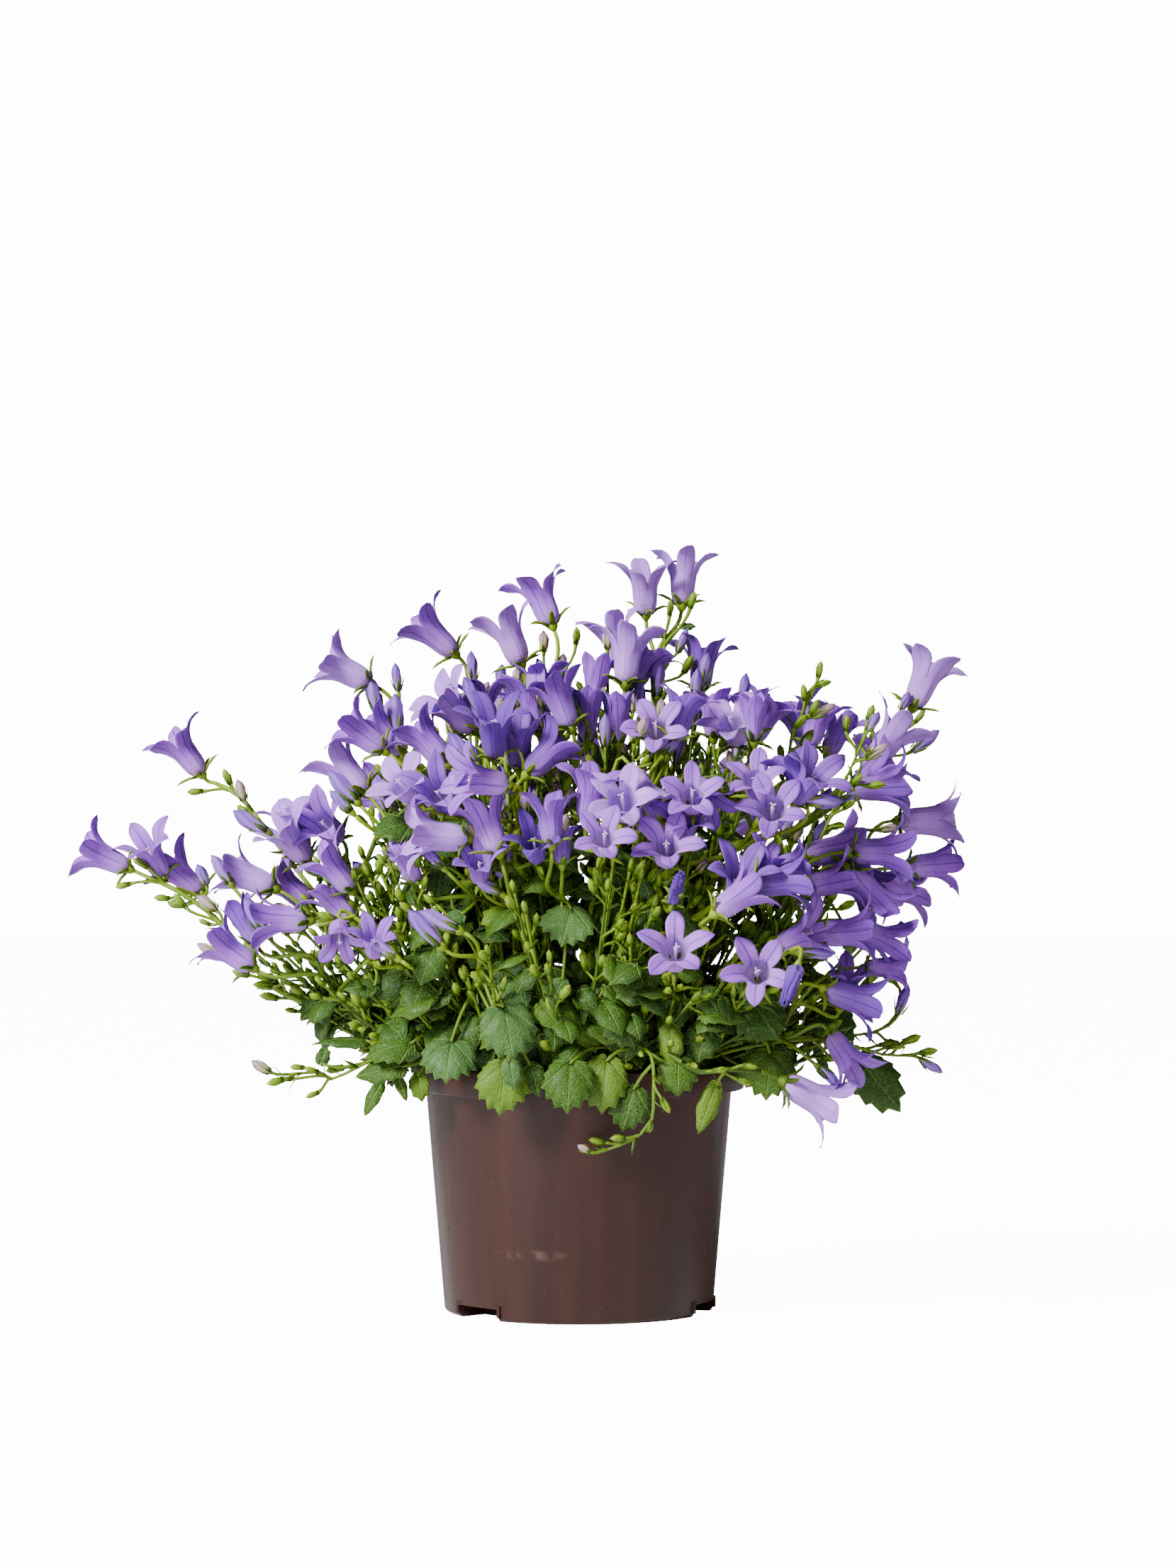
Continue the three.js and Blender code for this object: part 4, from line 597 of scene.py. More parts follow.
def stem_under(samples, x, z, turn):
    """The place on the stems that a bud's stalk to this picture place springs from."""
    t = math.radians(turn)
    p = np.array([s["p"] for s in samples])
    k = (EYE["distance"] + p[:, 1]) / EYE["distance"]
    dx = EYE["x"] + (p[:, 0] - EYE["x"]) / k - x + BUD_STALK["back"] * math.cos(t)
    dz = EYE["z"] + (p[:, 2] - EYE["z"]) / k - z + BUD_STALK["back"] * math.sin(t)
    cost = np.hypot(dx, dz) + np.where(dz > BUD_STALK["above"], BUD_STALK["cost"], 0)
    return samples[int((cost + np.where(p[:, 1] > FARTHEST_BUD, NEVER, 0)).argmin())]


def bud_layout(samples):
    """The buds of the table, each with the place on a stem that its stalk springs from."""
    buds = []
    for x, z, turn, long, tone in BUDS:
        start = stem_under(samples, x, z, turn)
        base, axis = place(x, z, start["p"][1] - 1), axis_of(turn, BUD_STALK["face"])
        buds.append({"from": start, "base": base, "axis": axis, "long": long, "tone": tone})
    return buds


def leaf_frame(middle, tip, normal, long, wide, points, tone):
    """A leaf about its middle: the ways to its tip, to its side and out of its face, and its notch."""
    n = unit(normal)
    d = unit(tip - n * np.dot(tip, n))
    return {"middle": middle, "d": d, "n": n, "s": np.cross(n, d), "long": long, "wide": wide,
            "points": points, "tone": tone, "notch": middle - d * 0.36 * long}


def seen_leaf(x, z, turn, long, wide, lean, y, points, tone):
    t = math.radians(lean)
    return leaf_frame(place(x, z, y), axis_of(turn, 0), vec(0, -math.cos(t), math.sin(t)),
                      long, wide, points, tone)


def hidden_leaf(i):
    """A leaf of the far side or a flank, which the eye did not see: low ones and high ones in turn."""
    low = i % 2
    bearing = math.radians(-25 + 230 * (i + 0.5) / HIDDEN_LEAVES)
    out = 64 + 10 * draw(i, 1) if low else 50 + 12 * draw(i, 2)
    z = 86 + 8 * draw(i, 3) if low else 104 + 22 * draw(i, 4)
    way = heading(bearing)
    normal = raised(way, math.radians(25 if low else 45))
    tip = np.cross(way, UP) * 0.9 * (draw(i, 5) - 0.5) - UP
    # A tone at random; pale is a painted sheen, lime partly painted light.
    tone = ("mid", "dark", "lime", "pale")[math.floor(4 * draw(i, 6))]
    return leaf_frame(UP * z + way * out, tip, normal, 14 + 6 * draw(i, 7), 1, 5, tone)


def stalk_of_leaf(leaf, samples):
    """The way of a leaf's stalk back from its notch, over the rim where it must."""
    notch, d = leaf["notch"], leaf["d"]
    p = np.array([s["p"] for s in samples])
    way = p - notch
    off = np.linalg.norm(way, axis=1)
    behind = way @ d / np.maximum(off, 1e-6)
    rule = LEAF_STALK
    low = (p[:, 2] < rule["low"]) & (np.hypot(p[:, 0], p[:, 1]) > rule["far"])
    cost = off * (rule["long"] + rule["on"] * behind) + np.where(low, rule["cost"], 0)
    best = samples[int((cost + np.where(off < rule["least"], NEVER, 0)).argmin())]
    out, home = math.hypot(notch[0], notch[1]), math.hypot(best["p"][0], best["p"][1])
    bend = mix(notch, best["p"], 0.4) - d * 0.1 * length(best["p"] - notch)
    rim = OVER_RIM
    if notch[2] < rim["below"] and out > rim["outside"] and home < rim["inside"]:
        bend = UP * rim["high"] + unit(vec(notch[0], notch[1], 0)) * clamp(out - 1, rim["near"], rim["far"])
    return {"crown": best["crown"], "path": [bend, best["p"]]}


def layout():
    """The bunches, stems, buds and leaves; the stalks of low leaves carry some of the later leaves."""
    bunches = all_bunches()
    stems = main_stems(bunches)
    samples = [s for stem in stems for s in samples_on(stem["points"], stem["crown"], 4)[5:]]
    buds = bud_layout(samples)
    leaves = []
    seen = [seen_leaf(*row) for row in LEAVES]
    for leaf in seen + [hidden_leaf(i) for i in range(HIDDEN_LEAVES)]:
        leaf.update(stalk_of_leaf(leaf, samples))
        if leaf["middle"][2] < 125:
            samples += samples_on(leaf["path"][::-1], leaf["crown"], 5)[3:]
        leaves.append(leaf)
    return bunches, stems, buds, leaves


class Heap:
    """Points, faces and numbers on the points, gathered into one piece."""

    def __init__(self):
        self.points, self.faces, self.slots, self.notes = [], [], [], []
        self.count = 0

    def add(self, points, *face_sets, slot=0, **notes):
        for faces in face_sets:
            faces = np.asarray(faces, int).reshape(len(faces), -1) + self.count
            self.faces.append(faces)
            self.slots.append(np.full(len(faces), slot))
        self.points.append(np.asarray(points, float))
        self.notes.append({k: np.broadcast_to(v, len(points)) for k, v in notes.items()})
        self.count += len(points)

    def build(self, name, materials, smooth=True):
        mesh = bpy.data.meshes.new(name)
        corners = np.concatenate([f.ravel() for f in self.faces])
        sizes = np.concatenate([np.full(len(f), f.shape[1]) for f in self.faces])
        mesh.vertices.add(self.count)
        mesh.vertices.foreach_set("co", (np.concatenate(self.points) * MM).ravel())
        mesh.loops.add(len(corners))
        mesh.loops.foreach_set("vertex_index", corners)
        mesh.polygons.add(len(sizes))
        mesh.polygons.foreach_set("loop_start", np.concatenate([[0], np.cumsum(sizes)[:-1]]))
        mesh.polygons.foreach_set("material_index", np.concatenate(self.slots))
        mesh.polygons.foreach_set("use_smooth", np.full(len(sizes), smooth))
        for key in sorted({k for notes in self.notes for k in notes}):
            parts = [notes.get(key, np.zeros(len(p))) for notes, p in zip(self.notes, self.points)]
            note = mesh.attributes.new(key, "FLOAT", "POINT")
            note.data.foreach_set("value", np.concatenate(parts).astype(np.float32))
        for material in materials:
            mesh.materials.append(material)
        mesh.update(calc_edges=True)
        mesh.validate()
        piece = bpy.data.objects.new(name, mesh)
        bpy.context.scene.collection.objects.link(piece)
        return piece


def grid_faces(rows, columns, wrap=False):
    """Quads of a grid of points, row by row; with wrap, the last column joins the first."""
    i, j = np.meshgrid(np.arange(rows - 1), np.arange(columns if wrap else columns - 1), indexing="ij")
    i, j = i.ravel(), j.ravel()
    k = (j + 1) % columns
    return np.stack([i * columns + j, i * columns + k, (i + 1) * columns + k, (i + 1) * columns + j], 1)


def normals_of(points, quads):
    p = points[quads]
    face = np.cross(p[:, 2] - p[:, 0], p[:, 3] - p[:, 1])
    normals = np.zeros_like(points)
    for corner in range(4):
        np.add.at(normals, quads[:, corner], face)
    return normals / np.maximum(np.linalg.norm(normals, axis=1, keepdims=True), 1e-9)


def rim_of(quads):
    """The open edges of a sheet of quads, as pairs in the way that its faces run."""
    edges = np.concatenate([quads[:, [c, (c + 1) % 4]] for c in range(4)])
    size = int(quads.max()) + 1
    own, back = edges[:, 0] * size + edges[:, 1], edges[:, 1] * size + edges[:, 0]
    return edges[~np.isin(own, back)]


def thick_sheet(points, quads, wall, rim=None):
    """A sheet made a closed body: the points, then the same points again on its under side."""
    n = len(points)
    wall = np.broadcast_to(wall, n)[:, None]
    under = points - normals_of(points, quads) * wall
    a, b = (rim_of(quads) if rim is None else rim).T
    sides = np.stack([b, a, a + n, b + n], 1)
    return np.concatenate([points, under]), np.concatenate([quads, quads[:, ::-1] + n, sides])


def smooth_path(points, step):
    """A smooth way through the points, in steps of about this length."""
    p = np.array(points, float)
    ends = np.concatenate([[2 * p[0] - p[1]], p, [2 * p[-1] - p[-2]]])
    way = []
    for i in range(1, len(ends) - 2):
        count = max(1, round(length(ends[i + 1] - ends[i]) / step))
        for t in np.arange(count) / count:
            a, b, c, d = ends[i - 1:i + 3]
            way.append(0.5 * (2 * b + (c - a) * t + (2 * a - 5 * b + 4 * c - d) * t * t
                              + (3 * b - a - 3 * c + d) * t ** 3))
    return np.array(way + [p[-1]])


def bend_between(start, leave, end, arrive, count, pull=0.4):
    """A smooth way from start to end that leaves and arrives along the two given ways."""
    span = length(end - start)
    t = np.linspace(0, 1, count)[:, None]
    return curve_at(t, start, start + leave * span * pull, end - arrive * span * pull, end)


def frames_along(points):
    """At each point of a path the way it runs, and two ways square to it that turn no more than it does."""
    way = np.gradient(points, axis=0)
    way /= np.maximum(np.linalg.norm(way, axis=1, keepdims=True), 1e-9)
    u = UP if abs(way[0][2]) < 0.9 else vec(1, 0, 0)
    us = []
    for t in way:
        u = unit(u - t * np.dot(u, t))
        us.append(u)
    us = np.array(us)
    return way, us, np.cross(way, us)


def turns(sides):
    """The angles of so many points round a ring."""
    return 2 * math.pi * np.arange(sides) / sides


def end_fans(sides, last_ring, low, high):
    """Triangles that close a body of rings: its first ring to the point low, its last to the point high."""
    j = np.arange(sides)
    k = (j + 1) % sides
    return np.concatenate([np.stack([np.full(sides, low), k, j], 1),
                           np.stack([np.full(sides, high), last_ring + j, last_ring + k], 1)])


def tube(points, radii, sides=6):
    """A round stem along the points, closed at both ends: its points, quads and end triangles."""
    points = np.asarray(points, float)
    _, u, v = frames_along(points)
    a = turns(sides)[:, None]
    r = np.broadcast_to(radii, len(points))[:, None, None]
    rings = points[:, None] + r * (u[:, None] * np.cos(a) + v[:, None] * np.sin(a))
    verts = np.concatenate([rings.reshape(-1, 3), points[:1], points[-1:]])
    n = len(points) * sides
    return verts, grid_faces(len(points), sides, True), end_fans(sides, n - sides, n, n + 1)


def spike(start, forward, lift, long, half, angles, wall, rows=2):
    """A small narrow leaf, diamond in section: it bends from angle to angle and ends in a point."""
    s = np.linspace(0, 1, rows + 1)
    turn = np.radians(angles[0] + (angles[1] - angles[0]) * s)
    ways = np.cos(turn)[:, None] * forward + np.sin(turn)[:, None] * lift
    middle = start + np.concatenate([[np.zeros(3)], np.cumsum((ways[1:] + ways[:-1]) / 2, 0)]) * long / rows
    up = (-np.sin(turn)[:, None] * forward + np.cos(turn)[:, None] * lift)[:-1] * wall / 2
    wide = half * np.minimum(1, 0.72 + 1.3 * s) * (1 - s ** 1.6) ** 0.85
    side = np.cross(forward, lift) * wide[:-1, None]
    rings = np.stack([middle[:-1] + way for way in (up, side, -up, -side)], 1).reshape(-1, 3)
    last, tip = 4 * (rows - 1), 4 * rows
    ends = [[tip, last + c, last + (c + 1) % 4] for c in range(4)]
    faces = ([[3, 2, 1, 0]], ends) if rows == 1 else (grid_faces(rows, 4, True), [[3, 2, 1, 0]], ends)
    return np.concatenate([rings, middle[-1:]]), faces, np.concatenate([np.repeat(s[:-1], 4), [1]])


# Blooms.

# A lobe's middle line: its angle from the axis where it parts from the tube and at its tip, how
# late it bends, and its length. Below that, how high the lobes part, and the tube's own line.
LOBES = {"S": (36, 94, 1.1, 8.8), "B": (7, 95, 1.3, 14.2), "H": (-4, 34, 1.3, 10.5)}
TUBE_LONG = {"S": 10.4, "B": 9.8, "H": 10.4}
TUBE_ROWS, LOBE_ROWS, LOBE_COLUMNS = 6, 8, 6
TUBE_LINE = [(0, 0.8), (0.03, 1.9), (0.1, 2.95), (0.22, 3.65), (0.4, 4.1), (0.6, 4.3), (0.8, 4.4), (1, 4.6)]
LOBE_HALF = 2.95
# How much lobes differ: their lean and their tips' in degrees, then their length, width, the
# waves of their edges, their twist and how far they sway to a side.
LOBE_PLAY = {"lean": 14, "tip": 20, "long": 0.14, "half": 0.12, "wave": 0.3, "twist": 1.1, "sway": 1.6}
# A lobe's angles from the axis when it has withered, foot and tip, in degrees.
WITHERED_LOBE = (8, -60)
PETAL_WALL = 0.32
# A bell's style: its height and how much that differs, and its arms as (r, h) from its tip.
STYLE = {"high": 11, "more": 2.5, "arm": ((0, -0.3), (0.35, 0.6), (0.9, 0.8), (1.25, 0.3))}
# A bud's radius from its foot to its tip, as shares of its length and of its greatest radius.
BUD_SHARES, BUD_RADII = (0, 0.06, 0.2, 0.45, 0.66, 0.85, 0.95, 1), (0.35, 0.6, 0.8, 0.97, 1, 0.66, 0.3, 0.08)
# A pleated bud that stands in a bunch: its greatest radius. A bud longer than LONG_BUD is slimmer,
# with more rows and points round.
PLEATED_FAT = 2.7
LONG_BUD = 9
# Blooms that hang dry and crumpled: bunch and place in it.
WITHERED = {("front_right_star", 1), ("middle_right", 4), ("middle_right", 5)}
# Blooms of a paler lilac, partly their own paler tone and partly painted light where they stand in the light:
# bunch and places in it.
PALE_AND_LIT_BLOOMS = {
    "arm_middle": (0,), "arm_upper": (0, 1), "left_shoulder": (2,), "left_peak": (0,),
    "left_flank": (0,), "upper_left": (0, 2), "left_face": (0,), "left_middle": (0,),
    "crest_middle": (0,), "crest_top": (0, 1), "crest_front": (0, 1), "right_star": (0,),
    "right_upper": (0, 1), "right_peak": (0,), "right_tip": (1,), "middle_star": (0, 2), "drooping": (0,),
}
# Blooms darkened to a deeper violet by painted shade where they lie in shade, and how deep from 0 to 1:
# bunch, then place in it.
PAINTED_SHADE_BLOOMS = {
    "dark_pair": {0: 0.9, 1: 0.6, 2: 0.3}, "middle_left": {0: 0.4, 1: 0.9, 2: 0.7},
    "right_face": {1: 0.25, 2: 0.7, 3: 0.55}, "right_middle": {0: 0.6, 2: 0.3, 3: 0.7, 4: 0.5},
    "right_lower": {2: 0.4, 3: 0.3}, "right_foot": {0: 0.7}, "right_flank": {1: 0.4},
    "right_inner": {2: 0.2}, "low_right": {0: 0.3}, "middle_right": {3: 0.5}, "crest_right": {0: 0.4},
    "upper_middle": {2: 0.4}, "upper_star": {1: 0.6}, "left_heart": {1: 0.4}, "left_face": {1: 0.4},
    "arm_lower": {0: 0.5},
}


def bloom_faces():
    """Quads of a bell's sheet: the tube's rows all round, then each lobe's own rows."""
    c, around = LOBE_COLUMNS, LOBES_A_BELL * LOBE_COLUMNS
    faces = [grid_faces(TUBE_ROWS + 1, around, True)]
    start = (TUBE_ROWS + 1) * around
    top = TUBE_ROWS * around
    for k in range(LOBES_A_BELL):
        first = top + (k * c + np.arange(c + 1)) % around
        own = start + k * LOBE_ROWS * (c + 1) + np.arange(LOBE_ROWS * (c + 1)).reshape(LOBE_ROWS, c + 1)
        rows = np.concatenate([first[None], own])
        quads = np.stack([rows[:-1, :-1], rows[:-1, 1:], rows[1:, 1:], rows[1:, :-1]], -1)
        faces.append(quads.reshape(-1, 4))
    return np.concatenate(faces)


BLOOM_FACES = bloom_faces()
BLOOM_RIM = rim_of(BLOOM_FACES)


def lobe_line(spread, late, long, rise, share):
    """Middle line of a lobe from the tube on: r, h and its angle from the axis at each share."""
    turn = np.radians(spread[0] + (spread[1] - spread[0]) * share ** late)
    mid = (turn[1:] + turn[:-1]) / 2
    step = np.diff(share) * long
    r = TUBE_LINE[-1][1] + np.concatenate([[0], np.cumsum(np.sin(mid) * step)])
    h = rise + np.concatenate([[0], np.cumsum(np.cos(mid) * step)])
    return r, h, turn


def tube_part(number, kind):
    """The rows of a bell's tube about its axis, how far along each point is, and how far across."""
    shares, radii = zip(*TUBE_LINE)
    t = np.linspace(0, 1, TUBE_ROWS + 1) ** 1.35
    fat = 0.96 + 0.1 * draw(number, 11) - (0.16 if kind == "H" else 0)
    w = np.arange(LOBES_A_BELL * LOBE_COLUMNS) / LOBE_COLUMNS * 2 - 1
    folds = 1 + 0.05 * np.cos(np.radians(180 * (w + 2))) * np.clip(t * 2, 0, 1)[:, None]
    r = (np.interp(t, shares, radii) * (fat + (1 - fat) * t ** 4))[:, None] * folds
    azimuth = np.radians(36 * w)
    h = np.broadcast_to((t * TUBE_LONG[kind])[:, None], r.shape)
    points = np.stack([r * np.cos(azimuth), r * np.sin(azimuth), h], -1).reshape(-1, 3)
    across = np.broadcast_to(np.abs((w + 1) % 2 - 1), r.shape).ravel()
    return points, np.repeat(t, len(w)), across


def lobe_part(number, lobe, kind, withered):
    """The rows of a lobe from the throat on, about the bell's axis, with the same two measures."""
    seed, play = number * LOBES_A_BELL + lobe, LOBE_PLAY
    low, high, late, long = LOBES[kind]
    share, v = np.linspace(0, 1, LOBE_ROWS + 1), np.linspace(-1, 1, LOBE_COLUMNS + 1)
    lean = play["lean"] * (draw(seed, 12) - 0.5)
    spread = (low + lean * 0.4, high + lean + play["tip"] * (draw(seed, 13) - 0.5))
    if withered:
        spread = (WITHERED_LOBE[0] + lean, WITHERED_LOBE[1] + 4 * lean)
    long *= 0.93 + play["long"] * draw(seed, 14)
    r, h, turn = lobe_line(spread, late, long, TUBE_LONG[kind], share)
    half = LOBE_HALF * (1 + 0.9 * share) * (1 - share ** 2.4) ** 0.95 + 0.12
    half *= (0.85 if kind == "S" else 0.95) + play["half"] * draw(seed, 15)
    curve = TUBE_LINE[-1][1] + 4 * share
    blend = ease(share / 0.3)
    arc = np.clip(half / curve, 0, 1.1)[:, None] * v
    inward = (curve * (1 - 0.55 * blend))[:, None] * (1 - np.cos(arc))
    inward -= (0.32 * np.sin(math.pi * np.clip(share * 1.1, 0, 1)))[:, None] * (1 - np.abs(v)) ** 2
    waves = play["wave"] * np.sin(9 * share + 6 * draw(seed, 16))
    ruffle = waves[:, None] * v ** 2 * ease(share * 2)[:, None] * np.sign(v + 0.01)
    ruffle += play["twist"] * (draw(seed, 19) - 0.5) * (ease(share) * half)[:, None] * v
    tilt = turn * blend
    x = r[:, None] - np.cos(tilt)[:, None] * (inward + ruffle)
    z = h[:, None] + np.sin(tilt)[:, None] * (inward + ruffle)
    y = curve[:, None] * np.sin(arc) + (play["sway"] * (draw(seed, 17) - 0.5) * share ** 2)[:, None]
    a = math.radians(72 * lobe)
    points = np.stack([x * math.cos(a) - y * math.sin(a), x * math.sin(a) + y * math.cos(a), z], -1)
    return points[1:].reshape(-1, 3), 1 + np.repeat(share[1:], len(v)), np.tile(np.abs(v), LOBE_ROWS)


def bell_points(number, kind, withered):
    """A bell's sheet about its axis, with how far along (1 at the throat, 2 at a tip) and across."""
    parts = [tube_part(number, kind)] + [lobe_part(number, k, kind, withered) for k in range(LOBES_A_BELL)]
    points, along, across = (np.concatenate(rows) for rows in zip(*parts))
    if withered:
        squeeze = 1 - 0.5 * ease(points[:, 2:] / 16)
        crumple = np.sin(points * 1.7 + number) @ np.array([[0, 0.8, 0.5], [0.7, 0, 0.6], [0.5, 0.7, 0]])
        points = points * np.concatenate([squeeze, squeeze, np.full_like(squeeze, 0.8)], 1) + 0.6 * crumple
    return points, along, across


def in_bloom(bloom, points):
    """Points about a bloom's own axis, moved to where the bloom is."""
    return bloom["base"] + points @ np.stack([bloom["u"], bloom["v"], bloom["axis"]]) * bloom["size"]


def add_bell(heap, bloom, withered, pale, deep):
    """An open bell of thin petals, with its style unless it has withered."""
    points, along, across = bell_points(bloom["number"], bloom["kind"], withered)
    wall = PETAL_WALL * (1 - 0.5 * across * (along > 1)) * np.where(along > 1.95, 0.5, 1)
    sheet, faces = thick_sheet(points, BLOOM_FACES, wall, BLOOM_RIM)
    # A pale bloom's high tint is partly painted light, where it stands in the light.
    tint = 0.92 if pale else 0.15 + 0.4 * draw(bloom["number"], 18)
    # deep is painted shade on a bloom that lies in shade; a withered bloom's full darkness is its own colour.
    heap.add(in_bloom(bloom, sheet), faces, along=np.tile(along, 2), across=np.tile(across, 2),
             inner=np.repeat([0, 1], len(points)), tint=tint, deep=1.0 if withered else deep)
    if not withered:
        add_style(heap, bloom)


def add_style(heap, bloom):
    """A club-shaped style with three short arms that curl out at its tip."""
    n = bloom["number"]
    top = STYLE["high"] + STYLE["more"] * draw(n, 21)
    sway = vec(0.5 * (draw(n, 22) - 0.5), 0.5 * (draw(n, 23) - 0.5), 0)
    path = smooth_path([UP, sway + UP * 5, sway + UP * 8, sway * 2 + UP * top], 1.6)
    radii = np.interp(path[:, 2], [0, 4, 7, top - 1.5, top], [0.3, 0.3, 0.38, 0.62, 0.42])
    verts, quads, caps = tube(path, radii)
    heap.add(in_bloom(bloom, verts), quads, caps, slot=1)
    for k in range(3):
        out = heading(math.radians(120 * k + 40 * draw(n, 24)))
        arm = np.array([path[-1] + out * r + UP * h for r, h in STYLE["arm"]])
        verts, quads, caps = tube(arm, [0.34, 0.3, 0.24, 0.14], 4)
        heap.add(in_bloom(bloom, verts), quads, caps, slot=1)


# Buds.

def bud_points(fat, long, pleat, twist, rows, sides):
    """A closed bud about its axis: a spindle of five pleats that turn a little towards the tip."""
    s = np.linspace(0, 1, rows)
    r = np.interp(s, BUD_SHARES, BUD_RADII)
    a = turns(sides)
    swirl = twist * ease((s - 0.4) / 0.6)[:, None]
    wave = np.cos(LOBES_A_BELL * a)
    radius = fat * r[:, None] * (1 + pleat * (0.3 + 0.7 * s)[:, None] * wave)
    x, y = radius * np.cos(a + swirl), radius * np.sin(a + swirl)
    z = np.broadcast_to((s * long)[:, None], x.shape)
    points = np.stack([x, y, z], -1).reshape(-1, 3)
    points = np.concatenate([points, [[0, 0, 0], [0, 0, long * 1.01]]])
    n = rows * sides
    along = np.concatenate([np.repeat(s, sides), [0, 1]])
    groove = np.concatenate([np.tile((1 - wave) / 2, rows), [0.5, 0.5]])
    return points, grid_faces(rows, sides, True), end_fans(sides, n - sides, n, n + 1), along, groove


def frame_about(axis, number):
    """Two ways square to an axis, turned about it by a draw."""
    side = unit(np.cross(axis, vec(0.3, 0.5, 0.81)))
    other = np.cross(axis, side)
    a = 2 * math.pi * draw(number, 31)
    u = side * math.cos(a) + other * math.sin(a)
    return {"u": u, "v": np.cross(axis, u), "axis": axis}


def add_bud(heap, bloom, long, fat, tone, number, slot=0):
    """A bud: tone 0 is green, 1 cream and 2 violet, with deeper pleats the riper it is."""
    rows, sides = (8, 15) if long > LONG_BUD else (6, 10) if tone else (5, 6)
    pleat, twist = (0.1, 0.13, 0.16)[tone], 0.5 + 0.4 * draw(number, 32)
    points, quads, caps, along, groove = bud_points(fat, long, pleat, twist, rows, sides)
    heap.add(in_bloom(bloom, points), quads, caps, slot=slot, along=along, groove=groove, tone=tone,
             tint=draw(number, 33))


def add_sepals(heap, bloom, long, half, angles, tone, at, ring, rows, wall):
    """Five narrow green sepals round the foot of a bell or bud."""
    for k in range(LOBES_A_BELL):
        seed = bloom["number"] * LOBES_A_BELL + k
        a = math.radians(72 * k + 36 + 14 * (draw(seed, 41) - 0.5))
        out = bloom["u"] * math.cos(a) + bloom["v"] * math.sin(a)
        lean = [angle + 18 * (draw(seed, 42) - 0.5) for angle in angles]
        start = bloom["base"] + bloom["axis"] * at + out * ring
        size = long * (0.85 + 0.3 * draw(seed, 43))
        blade, faces, s = spike(start, bloom["axis"], out, size, half, lean, wall, rows)
        heap.add(blade, *faces, tone=tone + 0.1 * s)


# Stems, leaves and the small growth on them.

# Tones of leaves: pale is a painted greyish sheen, lime partly painted light through the leaf.
LEAF_TONES = {"dark": 0, "mid": 1, "lime": 2, "pale": 3}
# Leafy shoots of an outer crown, how many of those lie low over the edge of the pot, and the
# shoots of an inner crown.
OUTER_SHOOTS, LOW_SHOOTS, INNER_SHOOTS = 23, 11, 16
GROUND_LEAVES = 18
# Ends of more low shoots that fan out over the edge of the pot, as picture places with their depth.
FANS = {
    "left": [
        (-117, 129, -4), (-111, 119, 6), (-106, 136, -12), (-99, 112, 8), (-94, 127, 12), (-90, 105, -6),
        (-85, 141, 16), (-79, 119, -14), (-73, 104, 10), (-98, 147, 2), (-104, 122, -16), (-84, 112, -20),
        (-113, 135, 4), (-104, 142, 8), (-95, 135, -8), (-88, 129, 4), (-91, 146, 10), (-108, 127, -8),
    ],
    "right": [
        (72, 112, 4), (84, 124, -8), (92, 106, 6), (98, 129, 10), (80, 97, -4), (88, 138, 4),
        (101, 113, -12), (110, 122, 2), (76, 104, -16), (94, 97, -18), (82, 128, -12), (91, 136, -2),
        (96, 119, -6), (104, 132, 4), (88, 118, 8), (79, 137, -8),
    ],
}
# The heart of the plant, which the leafy shoots fill: half its width, depth to width, foot and height.
HEART = {"wide": 120, "deep": 0.78, "foot": 84, "high": 168}
# Where in that heart a leafy shoot ends: its least rise and how much more in degrees, and its
# least share of the way out, for the low shoots of an outer crown and for its others.
LOW_RISE, HIGH_RISE, INNER_RISE = (13, 24, 0.62), (30, 46, 0.4), (40, 45)
OUTMOST = 0.95
# How far the shoots of a crown spread, in degrees.
SPREAD = {"outer": 56, "inner": 170}
# Radii of the thin stems: a hanging or reaching one without a bunch, and a leafy shoot.
BARE_STEM, LEAFY_STEM = (0.8, 0.5), (0.8, 0.55)
BUD_TONES = {"g": 0, "c": 1, "v": 2}
# How long a bud at the end of a shoot is by its tone, and from what height it may have opened more.
TIP_BUDS, RIPE_FROM = (5, 8, 12), 165
# Sepals of a bud by its tone: their length to the bud's, and their angles from its axis.
BUD_SEPALS = ((0.95, (16, -8)), (0.72, (26, 6)), (0.6, (22, 8)))
# The cup under a bell: how far back it starts, then places up its axis and its radii there.
CUP = {"back": 2.6, "at": (0, 0.7, 1.5, 2.3, 3.1), "radii": (0.6, 1.15, 1.75, 2.0, 2.15)}
# A leaf's blade, of length 1: half its length, how far its middle is from the notch, how far round
# its edge runs in degrees, and the depth of its points and of its teeth; then its wall in millimetres.
BLADE = {"half": 0.545, "centre": 0.43, "back": 158, "points": 0.06, "teeth": 0.11, "wall": 0.3}


def add_stem(heap, path, radii, tone, sides=6):
    heap.add(*tube(path, radii, sides), tone=tone)


def add_calyx(heap, bloom, tone):
    """The green cup under a bell, and its sepals."""
    kind, size = bloom["kind"], bloom["size"]
    foot = bloom["base"] - bloom["axis"] * CUP["back"]
    path = np.array([foot + bloom["axis"] * d for d in CUP["at"]])
    radii = np.array(CUP["radii"]) * (0.85 if kind == "P" else 1) * size
    heap.add(*tube(path, radii, 10), tone=tone + 0.1)
    if kind == "P":
        add_sepals(heap, bloom, 7.4 * size, 1.1, (14, 2), tone - 0.3, 0.3, 1.7 * size, 3, 0.9)
    elif kind == "H":
        add_sepals(heap, bloom, 7 * size, 1.15, (30, 40), tone - 0.3, 0.2, 2 * size, 3, 0.9)
    else:
        lean = (30 + 40 * draw(bloom["number"], 51), 96)
        add_sepals(heap, bloom, 8.4 * size, 1.3, lean, tone - 0.1, 0.1, 2 * size, 3, 1.1)


